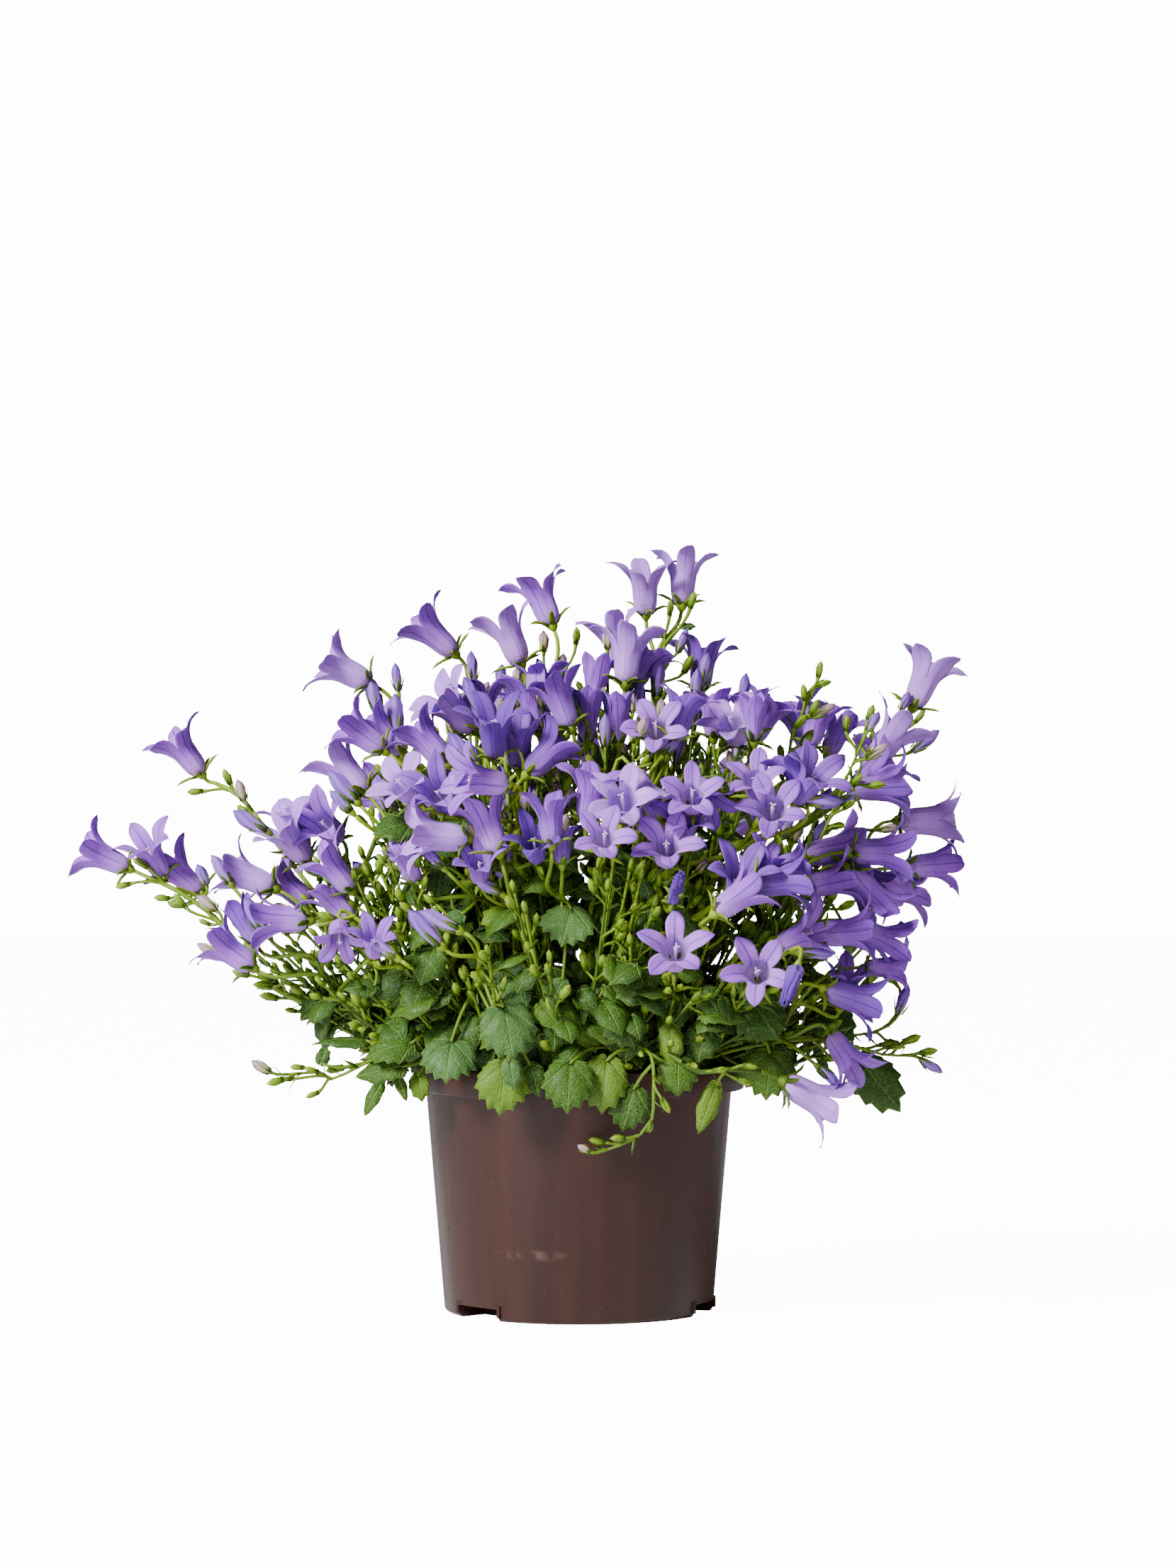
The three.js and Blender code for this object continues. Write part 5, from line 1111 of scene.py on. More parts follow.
def edge_of_leaf(theta, wide, main, small):
    """How far a leaf's edge lies from its notch at each angle: an oval, notched, pointed and toothed."""
    half, centre = BLADE["half"], BLADE["centre"]
    c, s = np.cos(theta) / half, np.sin(theta) / (0.5 * wide)
    b, square = c * centre / half, c * c + s * s
    reach = (b + np.sqrt(np.maximum(b * b + square * (1 - (centre / half) ** 2), 0))) / square
    reach *= 1 - 0.8 * np.exp(-((np.degrees(np.abs(theta)) - 180) / 22) ** 2)
    return reach * (1 - BLADE["points"] * main - BLADE["teeth"] * small ** 0.8)


def leaf_rise(x, y, rho, theta, main, wide, number):
    """The height of a leaf's face: domed, pleated between its veins and a little wavy."""
    off = np.hypot(x - 0.04, y / max(wide, 0.5))
    z = -LEAF_DOME * (0.5 + 0.3 * np.abs(theta)[None] / math.pi) * np.clip(off * 2, 0, 1.2) ** 2
    z += 0.02 * (1 - main)[None] * -np.sin(math.pi * rho) + 0.02 * np.sin(math.pi * rho)
    z += 0.03 * np.sin(4.5 * x + number) * np.sin(5 * y + 2 * number)
    z += 0.035 * rho ** 3 * np.sin(theta * 5 + number)[None] - 0.05 * np.clip(x, 0, 1) ** 2
    return z + 0.06 * np.abs(y) * (1 - rho)


def add_leaf(heap, leaf, rays_a_point=12, rings=5, teeth=3):
    """A heart-shaped blade with toothed edges, domed, its veins fanning out from the notch."""
    points, long, wide = leaf["points"], leaf["long"], leaf["wide"]
    number = round(leaf["middle"][0] * 7 + leaf["middle"][2] * 13)
    back = math.radians(BLADE["back"])
    q = np.linspace(0, points, points * rays_a_point + 1)
    theta = back * (2 * q / points - 1)
    main = np.abs((q % 1) - 0.5) * 2
    small = np.abs(((q * teeth + (0.5 if teeth % 2 == 0 else 0)) % 1) - 0.5) * 2
    reach = edge_of_leaf(theta, wide, main, small)
    rho = np.linspace(0.04, 1, rings)[:, None]
    x = rho * (reach * np.cos(theta))[None] - 0.36
    y = rho * (reach * np.sin(theta))[None]
    z = leaf_rise(x, y, rho, theta, main, wide, number)
    grid = np.stack([x, y, z], -1).reshape(-1, 3) * long
    sheet = leaf["middle"] + grid @ np.stack([leaf["d"], leaf["s"], leaf["n"]])
    sheet, faces = thick_sheet(sheet, grid_faces(rings, len(q)), BLADE["wall"])
    vein = np.abs(q % 1 - 0.5) * (2 * back / points) * (rho * reach[None]) * long
    edge = np.broadcast_to(rho, vein.shape)
    tone = LEAF_TONES[leaf["tone"]] + 0.5 * (draw(number, 61) - 0.5)
    heap.add(sheet, faces, vein=np.tile(vein.ravel(), 2), edge=np.tile(edge.ravel(), 2),
             under=np.repeat([0, 1], len(grid)), tone=tone, tint=draw(number, 62))


def add_leaf_stalk(heap, leaf, step=3, sides=6):
    path = smooth_path([leaf["notch"] + leaf["d"] * 0.04 * leaf["long"], *leaf["path"]], step)
    radii = np.interp(np.linspace(0, 1, len(path)), [0, 1], [STEM["petiole"] * 0.75, STEM["petiole"]])
    add_stem(heap, path, radii, 0.55, sides)


def twig_points(stem, salt, gap, first):
    """Places up a stem where something small grows: point, way of the stem, a side, a number."""
    path = smooth_path(stem["points"], 2)
    ways, us, vs = frames_along(path)
    spans = np.concatenate([[0], np.cumsum(np.linalg.norm(np.diff(path, axis=0), axis=1))])
    number = len(stem["points"]) * 131 + round(path[-1][0] * 3 + path[-1][2] * 5)
    at, made = first * spans[-1] + gap * draw(number, salt), []
    while at < spans[-1] - 4:
        i = int(np.searchsorted(spans, at))
        turn = 2.4 * len(made) + 6.28 * draw(number + len(made), salt + 1)
        side = us[i] * math.cos(turn) + vs[i] * math.sin(turn)
        made.append((path[i], ways[i], side, number * 7 + len(made)))
        at += gap * (0.6 + 0.8 * draw(number + len(made), salt + 2))
    return made


def add_bracts(heap, stem, tone):
    """Narrow little leaves up the flowering part of a stem."""
    for at, way, side, n in twig_points(stem, 71, 8, 0.32):
        long, half = 5 + 5 * draw(n, 72), 0.8 + 0.7 * draw(n, 73)
        blade, faces, s = spike(at, way, side, long, half, (35 + 25 * draw(n, 74), 66), 0.4, 3)
        heap.add(blade, *faces, tone=tone - 0.25 + 0.1 * s)


def small_growth(stem):
    """Short side twigs with a bud at the end, up the flowering part of a stem."""
    twigs = []
    for at, way, side, n in twig_points(stem, 81, 12, 0.35):
        axis = unit(way * 0.8 + side * (0.35 + 0.3 * draw(n, 82)))
        base = at + way * (3 + 4 * draw(n, 83)) + side * (2.6 + 2.5 * draw(n, 84))
        ripe = 0 if base[2] < 150 else draw(n, 85)
        tone = 0 if ripe < 0.84 else 1 if ripe < 0.92 else 2
        long = (4.5 + 3.2 * draw(n, 86)) * (1, 1.3, 1.4)[tone]
        twigs.append((at, way, {"base": base, "axis": axis, "long": long, "tone": tone, "number": n}))
    return twigs


def add_bud_on_stalk(stalks, buds, start, way, bud):
    """A bud on its thin stalk, held by narrow sepals."""
    axis, base, long, n, tone = bud["axis"], bud["base"], bud["long"], bud["number"], bud["tone"]
    count = 4 + int(length(base - start) / 5)
    path = bend_between(start, way, base + axis * 0.3, axis, count, 0.35)
    radii = np.interp(np.linspace(0, 1, count), [0, 0.8, 1], [0.6, 0.55, 0.85])
    add_stem(stalks, path, radii, 0.6, 4)
    bloom = {**frame_about(axis, n), "base": base, "size": 1, "number": n}
    slim = long > LONG_BUD
    fat = long * (0.17 if slim else 0.24)
    add_bud(buds, bloom, long, fat, tone, n)
    reach, lean = BUD_SEPALS[tone]
    add_sepals(stalks, bloom, max(long * reach, 3.8), 0.7, lean, 0.45, 0.1, fat * 0.6, 2 if slim else 1, 0.6)


def small_leaf(middle, way, lean, tip, long, wide, tone, foot, bow):
    """A small leaf that looks out along a level way, raised by a lean; its stalk bows to its foot."""
    sideways, down = tip
    point = way * down[0] + np.cross(way, UP) * sideways - UP * down[1]
    leaf = leaf_frame(middle, point, raised(way, math.radians(lean)), long, wide, 5, tone)
    leaf["path"] = [mix(leaf["notch"], foot, 0.5) + bow, foot]
    return leaf


def outward(at, turn):
    """The level way outwards from the pot's axis at a place, turned by so many radians."""
    return heading(math.atan2(at[1], at[0]) + turn)


def undergrowth(crown, stems):
    """Small stalked leaves low on the stems of a crown, where they stand thick."""
    leaves = []
    mine = [stem for stem in stems if stem["crown"] == crown and not stem["branch"]]
    for k, stem in enumerate(mine):
        path = smooth_path(stem["points"], 3)
        for i in range(2):
            n = k * 17 + i * 5 + CROWN_NUMBERS[crown] * 101
            at = path[min(len(path) - 2, int((0.06 + 0.3 * draw(n, 91)) * len(path)) + 1)]
            way = outward(at, 2.4 * (draw(n, 92) - 0.5))
            long = 8 + 6 * draw(n, 93)
            middle = at + way * (9 + 8 * draw(n, 94)) + UP * (2 + 9 * draw(n, 95))
            tip = 1.6 * (draw(n, 97) - 0.5), (0.6, 0.7)
            tone = "lime" if draw(n, 98) > 0.92 else "mid" if draw(n, 98) > 0.72 else "dark"
            leaves.append(small_leaf(middle, way, 35 + 45 * draw(n, 96), tip, long,
                                     0.75 + 0.25 * draw(n, 99), tone, at, -UP))
    return leaves


def ground_leaves(crown):
    """Stalked leaves that stand round a crown and hide the soil and the feet of the stems."""
    leaves = []
    root = crown_top(crown, LEAF_FOOT)
    spread, near = (200, 14) if is_inner(crown) else (70, 26)
    for i in range(GROUND_LEAVES):
        n = 60 * CROWN_NUMBERS[crown] + i
        way = heading(math.radians(CROWNS[crown][1] + spread * (draw(n, 141) - 0.5)))
        out = near + 30 * draw(n, 142)
        middle = way * out + UP * (96 + 34 * draw(n, 143) - 0.12 * out)
        tip = 1.8 * (draw(n, 145) - 0.5), (0.5, 0.6)
        tone = ("dark", "mid", "dark", "dark", "mid", "lime")[int(6 * draw(n, 146))]
        leaves.append(small_leaf(middle, way, 10 + 55 * draw(n, 144), tip, 11 + 8 * draw(n, 147),
                                 0.85 + 0.25 * draw(n, 148), tone, root, way * 2 + UP * 3))
    return leaves


def shoot_of(crown, points):
    return {"name": None, "crown": crown, "points": points, "branch": False}


def fan_shoot(crown, x, z, y):
    """A low shoot from its crown to a picture place at a depth."""
    top, end = crown_top(crown, STEM_FOOT), place(x, z, y)
    flat = unit(vec(end[0] - top[0], end[1] - top[1], 0))
    return shoot_of(crown, arch(top, flat * 0.96 + UP * 0.28, end, unit(flat + UP * 1.1)))


def fill_shoot(crown, i):
    """A leafy shoot from its crown to a drawn place in the heart of the plant."""
    n, inner = 40 * CROWN_NUMBERS[crown] + i, is_inner(crown)
    lies_low = i < LOW_SHOOTS
    least, more, near = LOW_RISE if lies_low else HIGH_RISE
    if inner:
        least, more = INNER_RISE
    rise = math.radians(least + more * draw(n, 122))
    share = near + (OUTMOST - near) * math.sqrt(draw(n, 123))
    spread = SPREAD["inner" if inner else "outer"]
    flat = heading(math.radians(CROWNS[crown][1] + spread * (draw(n, 121) - 0.5)))
    wide, high = HEART["wide"] * math.cos(rise) * share, HEART["high"] * math.sin(rise) * share
    end = flat * vec(wide, wide * HEART["deep"], 0) + UP * (HEART["foot"] + high)
    if lies_low and not inner:
        steep = max(rise * 0.8, math.radians(17))
    else:
        steep = clamp(rise + math.radians(22), 0, math.radians(STEEP["most"]))
    side = vec(-flat[1], flat[0], 0)
    start = crown_top(crown, STEM_FOOT) + flat * 1.5 + side * 2 * (draw(n, 124) - 0.5)
    return shoot_of(crown, arch(start, raised(flat, steep), end, unit(unit(end - start) + UP * 0.5)))


def fill_shoots(crown):
    """Leafy shoots with buds that fill the heart of the plant, under the blooms."""
    count = INNER_SHOOTS if is_inner(crown) else OUTER_SHOOTS
    low = [fan_shoot(crown, *end) for end in FANS.get(crown, ())]
    return low + [fill_shoot(crown, i) for i in range(count)]


def shoot_leaves(shoot, number):
    """Stalked leaves on the lower half of a leafy shoot."""
    path = smooth_path(shoot["points"], 3)
    leaves = []
    count, least = (5, 14) if is_inner(shoot["crown"]) else (3, 9)
    for i in range(count):
        n = number * 5 + i
        at = path[int((0.15 + 0.6 * draw(n, 131)) * (len(path) - 1))]
        way = outward(at, 1.8 * (draw(n, 132) - 0.5))
        middle = at + way * (6 + 6 * draw(n, 133)) + UP * (1 + 5 * draw(n, 134))
        tip = 1.8 * (draw(n, 136) - 0.5), (0.4, 0.6)
        tone = "mid" if draw(n, 137) > 0.6 else "dark"
        leaves.append(small_leaf(middle, way, 20 + 50 * draw(n, 135), tip, least + 8 * draw(n, 138),
                                 0.7 + 0.3 * draw(n, 139), tone, at, -UP))
    return leaves


def add_flowering_stem(stalks, tips, stem, bunch, tone):
    """A main stem with the stalks of its blooms, their calyxes, bracts and side buds."""
    path = smooth_path(stem["points"], 5)
    thick, thin = STEM["thick"] * (0.85 if stem["branch"] else 1), STEM["thin"]
    if stem["name"] is None:
        thick, thin = BARE_STEM
    add_stem(stalks, path, np.linspace(thick, thin, len(path)), tone)
    end = unit(path[-1] - path[-3])
    for i, bloom in enumerate(bunch):
        start = stalk_start(stem, i)
        arrive = bloom["base"] - bloom["axis"] * 2.2
        leave = end if i == 0 else unit(end + unit(arrive - start) * 0.8)
        way = bend_between(start, leave, arrive, bloom["axis"], 9)
        add_stem(stalks, way, np.linspace(STEM["thin"] * 0.9, STEM["stalk"], 9), tone + 0.1)
        add_calyx(stalks, bloom, tone + 0.05)
    add_bracts(stalks, stem, tone)
    for start, way, bud in small_growth(stem):
        add_bud_on_stalk(stalks, tips, start, way, bud)


def add_leafy_shoot(stalks, tips, shoot, number, tone):
    """A leafy shoot's stem, bracts and side buds, and the bud at its end."""
    path = smooth_path(shoot["points"], 7)
    add_stem(stalks, path, np.linspace(*LEAFY_STEM, len(path)), tone, 4)
    add_bracts(stalks, shoot, tone)
    for start, way, bud in small_growth(shoot):
        add_bud_on_stalk(stalks, tips, start, way, bud)
    axis = unit(path[-1] - path[-2])
    ripe = int(3 * draw(number, 126)) if path[-1][2] > RIPE_FROM else 0
    end = {"base": path[-1], "axis": axis, "long": TIP_BUDS[ripe], "tone": ripe, "number": 700 + number}
    add_bud_on_stalk(stalks, tips, path[-2], axis, end)


def leafy_crown(crown, stems, buds, leaves, bunches):
    """Everything green that rises from one crown, and the buds on it."""
    stalks, blades, tips = Heap(), Heap(), Heap()
    for k, stem in enumerate(s for s in stems if s["crown"] == crown):
        add_flowering_stem(stalks, tips, stem, bunches.get(stem["name"], []), 0.35 + 0.35 * draw(k, 101))
    for i, bud in enumerate(buds):
        if bud["from"]["crown"] == crown:
            own = {**bud, "tone": BUD_TONES[bud["tone"]], "number": 900 + i}
            add_bud_on_stalk(stalks, tips, bud["from"]["p"], bud["from"]["t"], own)
    for leaf in leaves:
        if leaf["crown"] == crown:
            add_leaf(blades, leaf)
            add_leaf_stalk(stalks, leaf)
    small = undergrowth(crown, stems)
    for k, shoot in enumerate(fill_shoots(crown)):
        number = CROWN_NUMBERS[crown] * 40 + k
        add_leafy_shoot(stalks, tips, shoot, number, 0.3 + 0.35 * draw(k, 102))
        small += shoot_leaves(shoot, number)
    for leaf in small + ground_leaves(crown):
        add_leaf(blades, leaf, 4, 3, 2)
        add_leaf_stalk(stalks, leaf, 6, 4)
    return stalks, blades, tips


# Pot and soil.

# Radii and heights of the pot: its rim and where that starts, its body at the top and the foot,
# its wall, its floor, the wall of the rim and the round edge of the foot.
POT = {"rim": 60, "rimLow": 80.5, "top": 89.3, "shoulder": 55.4, "foot": 48.8, "wall": 1.3, "floor": 2.5,
       "rimWall": 1.7, "footRound": 1.7}
# Pockets in the foot: their bearings, how far in and out they reach, half their width, their
# height, the wall of their housing, and half the width of the drain slot of each.
POCKET = {"angles": (-48, 70, 190), "inner": 36, "outer": 60, "half": 10.5, "height": 4.5, "wall": 1.2,
          "slot": 5}
POT_SIDES = 160
SHARP_EDGE = 32
# Soil: the height of its edge and of its foot, its gap to the pot's wall, its rows and sides, its
# crumbs and how far out they lie.
SOIL = {"edge": 80.2, "foot": 7.0, "gap": 0.3, "rows": 34, "sides": 96, "crumbs": 120, "reach": 51}
# A crumb: places along its middle and its radii there, as shares of its size.
CRUMB = {"at": (-1, -0.6, 0, 0.6, 1), "radii": (0.2, 0.8, 1, 0.75, 0.2)}


def turned_body(outline, sides):
    """A body turned about Z from its closed outline of (r, z), which starts and ends on the axis."""
    r, z = np.array(outline[1:-1], float).T[:, :, None]
    a = turns(sides)
    rings = np.stack([r * np.cos(a), r * np.sin(a), np.broadcast_to(z, (len(z), sides))], -1)
    n = len(r) * sides
    verts = np.concatenate([rings.reshape(-1, 3), [[0, 0, outline[0][1]], [0, 0, outline[-1][1]]]])
    return verts, grid_faces(len(r), sides, True), end_fans(sides, n - sides, n, n + 1)


def pocket_blocks(name, near, far, half, low, high):
    """A block at each pocket's bearing (0 is the front, turning towards +X), to join or cut with."""
    blocks = []
    for i, bearing in enumerate(POCKET["angles"]):
        out = heading(math.radians(bearing - 90))
        side = vec(-out[1], out[0], 0)
        corners = [out * r + side * w + UP * z for z in (low, high)
                   for r, w in ((near, -half), (far, -half), (far, half), (near, half))]
        walls = [[c, (c + 1) % 4, (c + 1) % 4 + 4, c + 4] for c in range(4)]
        heap = Heap()
        heap.add(np.array(corners), [[3, 2, 1, 0], [4, 5, 6, 7], *walls])
        blocks.append(heap.build(f"{name}_{i}", [], smooth=False))
    return blocks


def join_or_cut(piece, tools, operation):
    """A piece joined with the tools or cut by them, which are used up."""
    for tool in tools:
        step = piece.modifiers.new("step", "BOOLEAN")
        step.object, step.operation, step.solver = tool, operation, "EXACT"
    bpy.context.view_layer.update()
    made = bpy.data.meshes.new_from_object(piece.evaluated_get(bpy.context.evaluated_depsgraph_get()))
    piece.modifiers.clear()
    piece.data = made
    for tool in tools:
        bpy.data.objects.remove(tool)


def pot_outline():
    """Outside up from the foot, over the rounded rim, and down inside, as (r, z)."""
    foot, shoulder, rim, low, top = (POT[key] for key in ("foot", "shoulder", "rim", "rimLow", "top"))
    bend, inside, wall = POT["footRound"], rim - POT["rimWall"], POT["wall"]
    quarter = np.linspace(0, math.pi / 2, 6)
    edge = [(foot - bend + bend * math.sin(t), bend - bend * math.cos(t)) for t in quarter]
    slope = (shoulder - foot) / (low - 0.6 - bend)
    body = [(foot + slope * (z - bend), z) for z in (14, 28, 42, 56, 70, low - 0.9)]
    under = [(shoulder + 0.5, low - 0.35), (rim - 0.5, low - 0.05), (rim - 0.12, low + 0.15),
             (rim, low + 0.55)]
    lip = [(rim, top - 0.9), (rim - 0.16, top - 0.35), (rim - 0.5, top - 0.08), (rim - 0.95, top),
           (inside + 0.15, top - 0.15), (inside, top - 0.6)]
    within = [(inside, low + 1.6), (shoulder - wall, low + 0.8), (foot - wall, POT["floor"])]
    return [(0, 0)] + edge + body + under + lip + within + [(0, POT["floor"])]


def make_pot(material):
    """The pot, with three pockets in its foot, each in its housing and open to the inside by a slot."""
    heap = Heap()
    heap.add(*turned_body(pot_outline(), POT_SIDES))
    pot = heap.build("pot_smooth", [material])
    inner, half, high, wall = (POCKET[key] for key in ("inner", "half", "height", "wall"))
    far, floor = POT["foot"] - POT["wall"] + 1, POT["floor"]
    join_or_cut(pot, pocket_blocks("house", inner - wall, far, half + wall, floor - 1, high + wall), "UNION")
    cuts = pocket_blocks("pocket", inner, POCKET["outer"], half, -1, high)
    cuts += pocket_blocks("slot", inner - 4, inner + 1, POCKET["slot"], floor, high - 0.2)
    join_or_cut(pot, cuts, "DIFFERENCE")
    pot.data.materials.clear()
    pot.data.materials.append(material)
    for polygon in pot.data.polygons:
        polygon.use_smooth = True
        polygon.material_index = 0
    pot.data.set_sharp_from_angle(angle=math.radians(SHARP_EDGE))
    return pot


def soil_body():
    """A lumpy top on a plain plug that fills the pot."""
    rows, sides, edge, foot = SOIL["rows"], SOIL["sides"], SOIL["edge"], SOIL["foot"]
    wide, narrow = (POT[key] - POT["wall"] - SOIL["gap"] for key in ("shoulder", "foot"))
    a = turns(sides)
    r = wide * np.linspace(0.02, 1, rows)[::-1][:, None]
    x, y = r * np.cos(a), r * np.sin(a)
    lumps = 0.9 * np.sin(x * 0.31 + 1) * np.sin(y * 0.27)
    lumps += 0.5 * np.sin(x * 0.83 + y * 0.4) * np.sin(y * 0.9 - x * 0.3)
    lumps += 0.35 * np.sin(x * 2.1 + 3 * np.sin(y)) * np.sin(y * 1.9)
    z = edge + 0.2 + lumps * 0.6 * np.clip((wide - r) / 6, 0, 1)
    low = np.stack([narrow * np.cos(a), narrow * np.sin(a), np.full(sides, foot)], -1)
    verts = np.concatenate([low, np.stack([x, y, z], -1).reshape(-1, 3), [UP * foot], [UP * (edge + 0.2)]])
    n = len(verts)
    return verts, grid_faces(rows + 1, sides, True), end_fans(sides, sides * rows, n - 2, n - 1)


def make_soil(material):
    """Loose soil: its body, with crumbs on it of which a few are pale."""
    heap = Heap()
    heap.add(*soil_body())
    for i in range(SOIL["crumbs"]):
        out, bearing = SOIL["reach"] * math.sqrt(draw(i, 111)), 6.283 * draw(i, 112)
        size = 0.5 + 1.1 * draw(i, 113) ** 2
        at = heading(bearing, out) + UP * (SOIL["edge"] + 0.3 + 0.4 * size)
        way = unit(vec(draw(i, 114) - 0.5, draw(i, 115) - 0.5, 0.4))
        crumb = tube([at + way * size * t for t in CRUMB["at"]], np.array(CRUMB["radii"]) * size)
        heap.add(*crumb, pale=1.0 if draw(i, 116) > 0.9 else 0.0)
    return heap.build("soil_crumbs", [material])


# Finishes: ramps of colour as places from 0 to 1 with the colour there.

# Along a petal, from the foot of the bell over the throat at 0.5 to the tip of a lobe.
PETAL_OUTSIDE = [(0.0, "c49cd6"), (0.1, "b480da"), (0.3, "ac70da"), (0.5, "9a58ce"), (0.75, "9452ca"),
                 (1.0, "7c3cb4")]
PETAL_INSIDE = [(0.0, "d8cce0"), (0.3, "bc94d8"), (0.46, "ba88e2"), (0.58, "b070de"), (0.8, "a262d6"),
                (1.0, "8a48c2")]
# Along a bud, from its foot to its tip.
BUD_GREEN = [(0.0, "4c7604"), (0.5, "678c08"), (1.0, "84961e")]
BUD_CREAM = [(0.0, "8a9640"), (0.35, "b4a67c"), (0.8, "a88c94"), (1.0, "7c6084")]
BUD_VIOLET = [(0.0, "b090c4"), (0.3, "8c58c8"), (0.7, "7a46bc"), (1.0, "5a2c98")]
# By the tone of a stem, and by that of a leaf: dark, mid, lime and pale. A leaf's pale is a painted
# greyish sheen, and its lime partly its own yellow-green and partly painted light shining through it.
STEM_GREEN = [(0.0, "1a3402"), (0.35, "3c5a02"), (0.65, "6e8a06"), (1.0, "9aae18")]
LEAF_TOP = [(0.0, "0b2003"), (0.33, "153002"), (0.66, "3a5602"), (1.0, "1a341e")]
LEAF_BELOW = [(0.0, "26440c"), (0.33, "305008"), (0.66, "5a760e"), (1.0, "385a2c")]
POT_BROWN = [(0.3, "28120e"), (0.5, "311813"), (0.7, "3f2119")]
SOIL_BROWN = [(0.3, "150f0c"), (0.55, "2c211b"), (0.75, "4a3a2e")]
# What the patches and grain of every finish are given, before each finish sets its own.
MOTTLE = {"Color": (0.5, 0.5, 0.5, 1), "Patch Scale": 60.0, "Grain Scale": 800.0, "Amount": 0.2}
# The pale smudge on the pot's front: how the pot's space is moved and stretched to lie about it.
SMUDGE = {"Location": (0.0087, 0.025, -0.0833), "Scale": (0.5, 0.5, 3.4)}


def shade(code):
    """A colour written as six hexadecimal digits, as the linear colour that shaders take."""
    parts = [int(code[i:i + 2], 16) / 255 for i in (0, 2, 4)]
    return tuple(c / 12.92 if c <= 0.04045 else ((c + 0.055) / 1.055) ** 2.4 for c in parts) + (1,)


class Finish:
    """A node tree that is filled in by short calls."""

    def __init__(self, tree):
        self.tree = tree

    def node(self, kind, inputs=(), **settings):
        node = self.tree.nodes.new(kind)
        for key, value in settings.items():
            setattr(node, key, value)
        for key, value in dict(inputs).items():
            if isinstance(value, bpy.types.NodeSocket):
                self.tree.links.new(value, node.inputs[key])
            else:
                node.inputs[key].default_value = value
        return node

    def note(self, name):
        return self.node("ShaderNodeAttribute", attribute_name=name).outputs["Fac"]

    def point(self):
        return self.node("ShaderNodeTexCoord").outputs["Object"]

    def math(self, operation, a, b=0.0):
        return self.node("ShaderNodeMath", {0: a, 1: b}, operation=operation).outputs[0]

    def times(self, a, b):
        return self.math("MULTIPLY", a, b)

    def plus(self, a, b):
        return self.math("ADD", a, b)

    def band(self, value, low, high, start=0.0, end=1.0, kind="SMOOTHSTEP"):
        inputs = {"Value": value, "From Min": low, "From Max": high, "To Min": start, "To Max": end}
        return self.node("ShaderNodeMapRange", inputs, interpolation_type=kind).outputs["Result"]

    def ramp(self, value, stops):
        node = self.node("ShaderNodeValToRGB", {"Fac": value})
        line = node.color_ramp.elements
        while len(line) < len(stops):
            line.new(0.5)
        for element, (at, colour) in zip(line, stops):
            element.position = at
            element.color = shade(colour)
        return node.outputs["Color"]

    def blend(self, share, a, b, kind="MIX"):
        inputs = {"Factor": share, 6: a, 7: b}
        node = self.node("ShaderNodeMix", inputs, data_type="RGBA", blend_type=kind)
        return node.outputs[2]

    def towards(self, mask, share, colour, code):
        """A colour blended with another where a mask is, up to a share of it."""
        return self.blend(self.times(mask, share), colour, shade(code))

    def noise(self, scale, detail=3.0, stretch=None, roughness=0.5):
        point = self.point()
        if stretch:
            point = self.node("ShaderNodeMapping", {"Vector": point, "Scale": stretch}).outputs[0]
        inputs = {"Vector": point, "Scale": scale, "Detail": detail, "Roughness": roughness}
        return self.node("ShaderNodeTexNoise", inputs).outputs["Fac"]

    def bump(self, height, strength, distance):
        inputs = {"Height": height, "Strength": strength, "Distance": distance}
        return self.node("ShaderNodeBump", inputs).outputs["Normal"]


def effect(name, inputs, outputs, fill):
    """A shader node group with named inputs and outputs, filled in by a function."""
    group = bpy.data.node_groups.new(name, "ShaderNodeTree")
    for key, value in inputs.items():
        kind = "NodeSocketColor" if isinstance(value, tuple) else "NodeSocketFloat"
        group.interface.new_socket(key, in_out="INPUT", socket_type=kind).default_value = value
    for key, kind in outputs.items():
        group.interface.new_socket(key, in_out="OUTPUT", socket_type=kind)
    f = Finish(group)
    made = fill(f, f.node("NodeGroupInput").outputs)
    out = f.node("NodeGroupOutput")
    for key, socket in made.items():
        group.links.new(socket, out.inputs[key])
    return group


def mottled(f, mottle, colour, patch, grain, amount):
    """A colour with soft patches and grain: the colour, then the grain as a value."""
    inputs = {"Color": colour, "Patch Scale": patch, "Grain Scale": grain, "Amount": amount}
    made = f.node("ShaderNodeGroup", inputs, node_tree=mottle).outputs
    return made["Color"], made["Grain"]


def mottle_fill(f, given):
    """Soft patches and fine grain that lighten and darken a colour a little."""
    fine = f.noise(given["Grain Scale"], 4.0)
    both = f.plus(f.times(f.noise(given["Patch Scale"], 2.0), 0.65), f.times(fine, 0.35))
    swing = f.times(f.math("SUBTRACT", both, 0.5), given["Amount"])
    value = f.plus(1.0, f.times(swing, 2.0))
    colour = f.node("ShaderNodeHueSaturation", {"Color": given["Color"], "Value": value}).outputs[0]
    return {"Color": colour, "Grain": fine}


def surface(name, principled):
    """A material with its Principled shader, whose plain numbers are set on its own sockets."""
    material = bpy.data.materials.new(name)
    material.use_nodes = True
    material.node_tree.nodes.clear()
    f = Finish(material.node_tree)
    shader = f.node("ShaderNodeBsdfPrincipled", principled)
    out = f.node("ShaderNodeOutputMaterial")
    f.tree.links.new(shader.outputs[0], out.inputs[0])
    return material, f, shader


def flesh(specular, weight, radius, scale):
    """The plain numbers of a soft part of the plant that some light passes into."""
    return {"Specular IOR Level": specular, "Subsurface Weight": weight, "Subsurface Radius": radius,
            "Subsurface Scale": scale}


def join(f, shader, colour, roughness, normal):
    for key, socket in (("Base Color", colour), ("Roughness", roughness), ("Normal", normal)):
        f.tree.links.new(socket, shader.inputs[key])


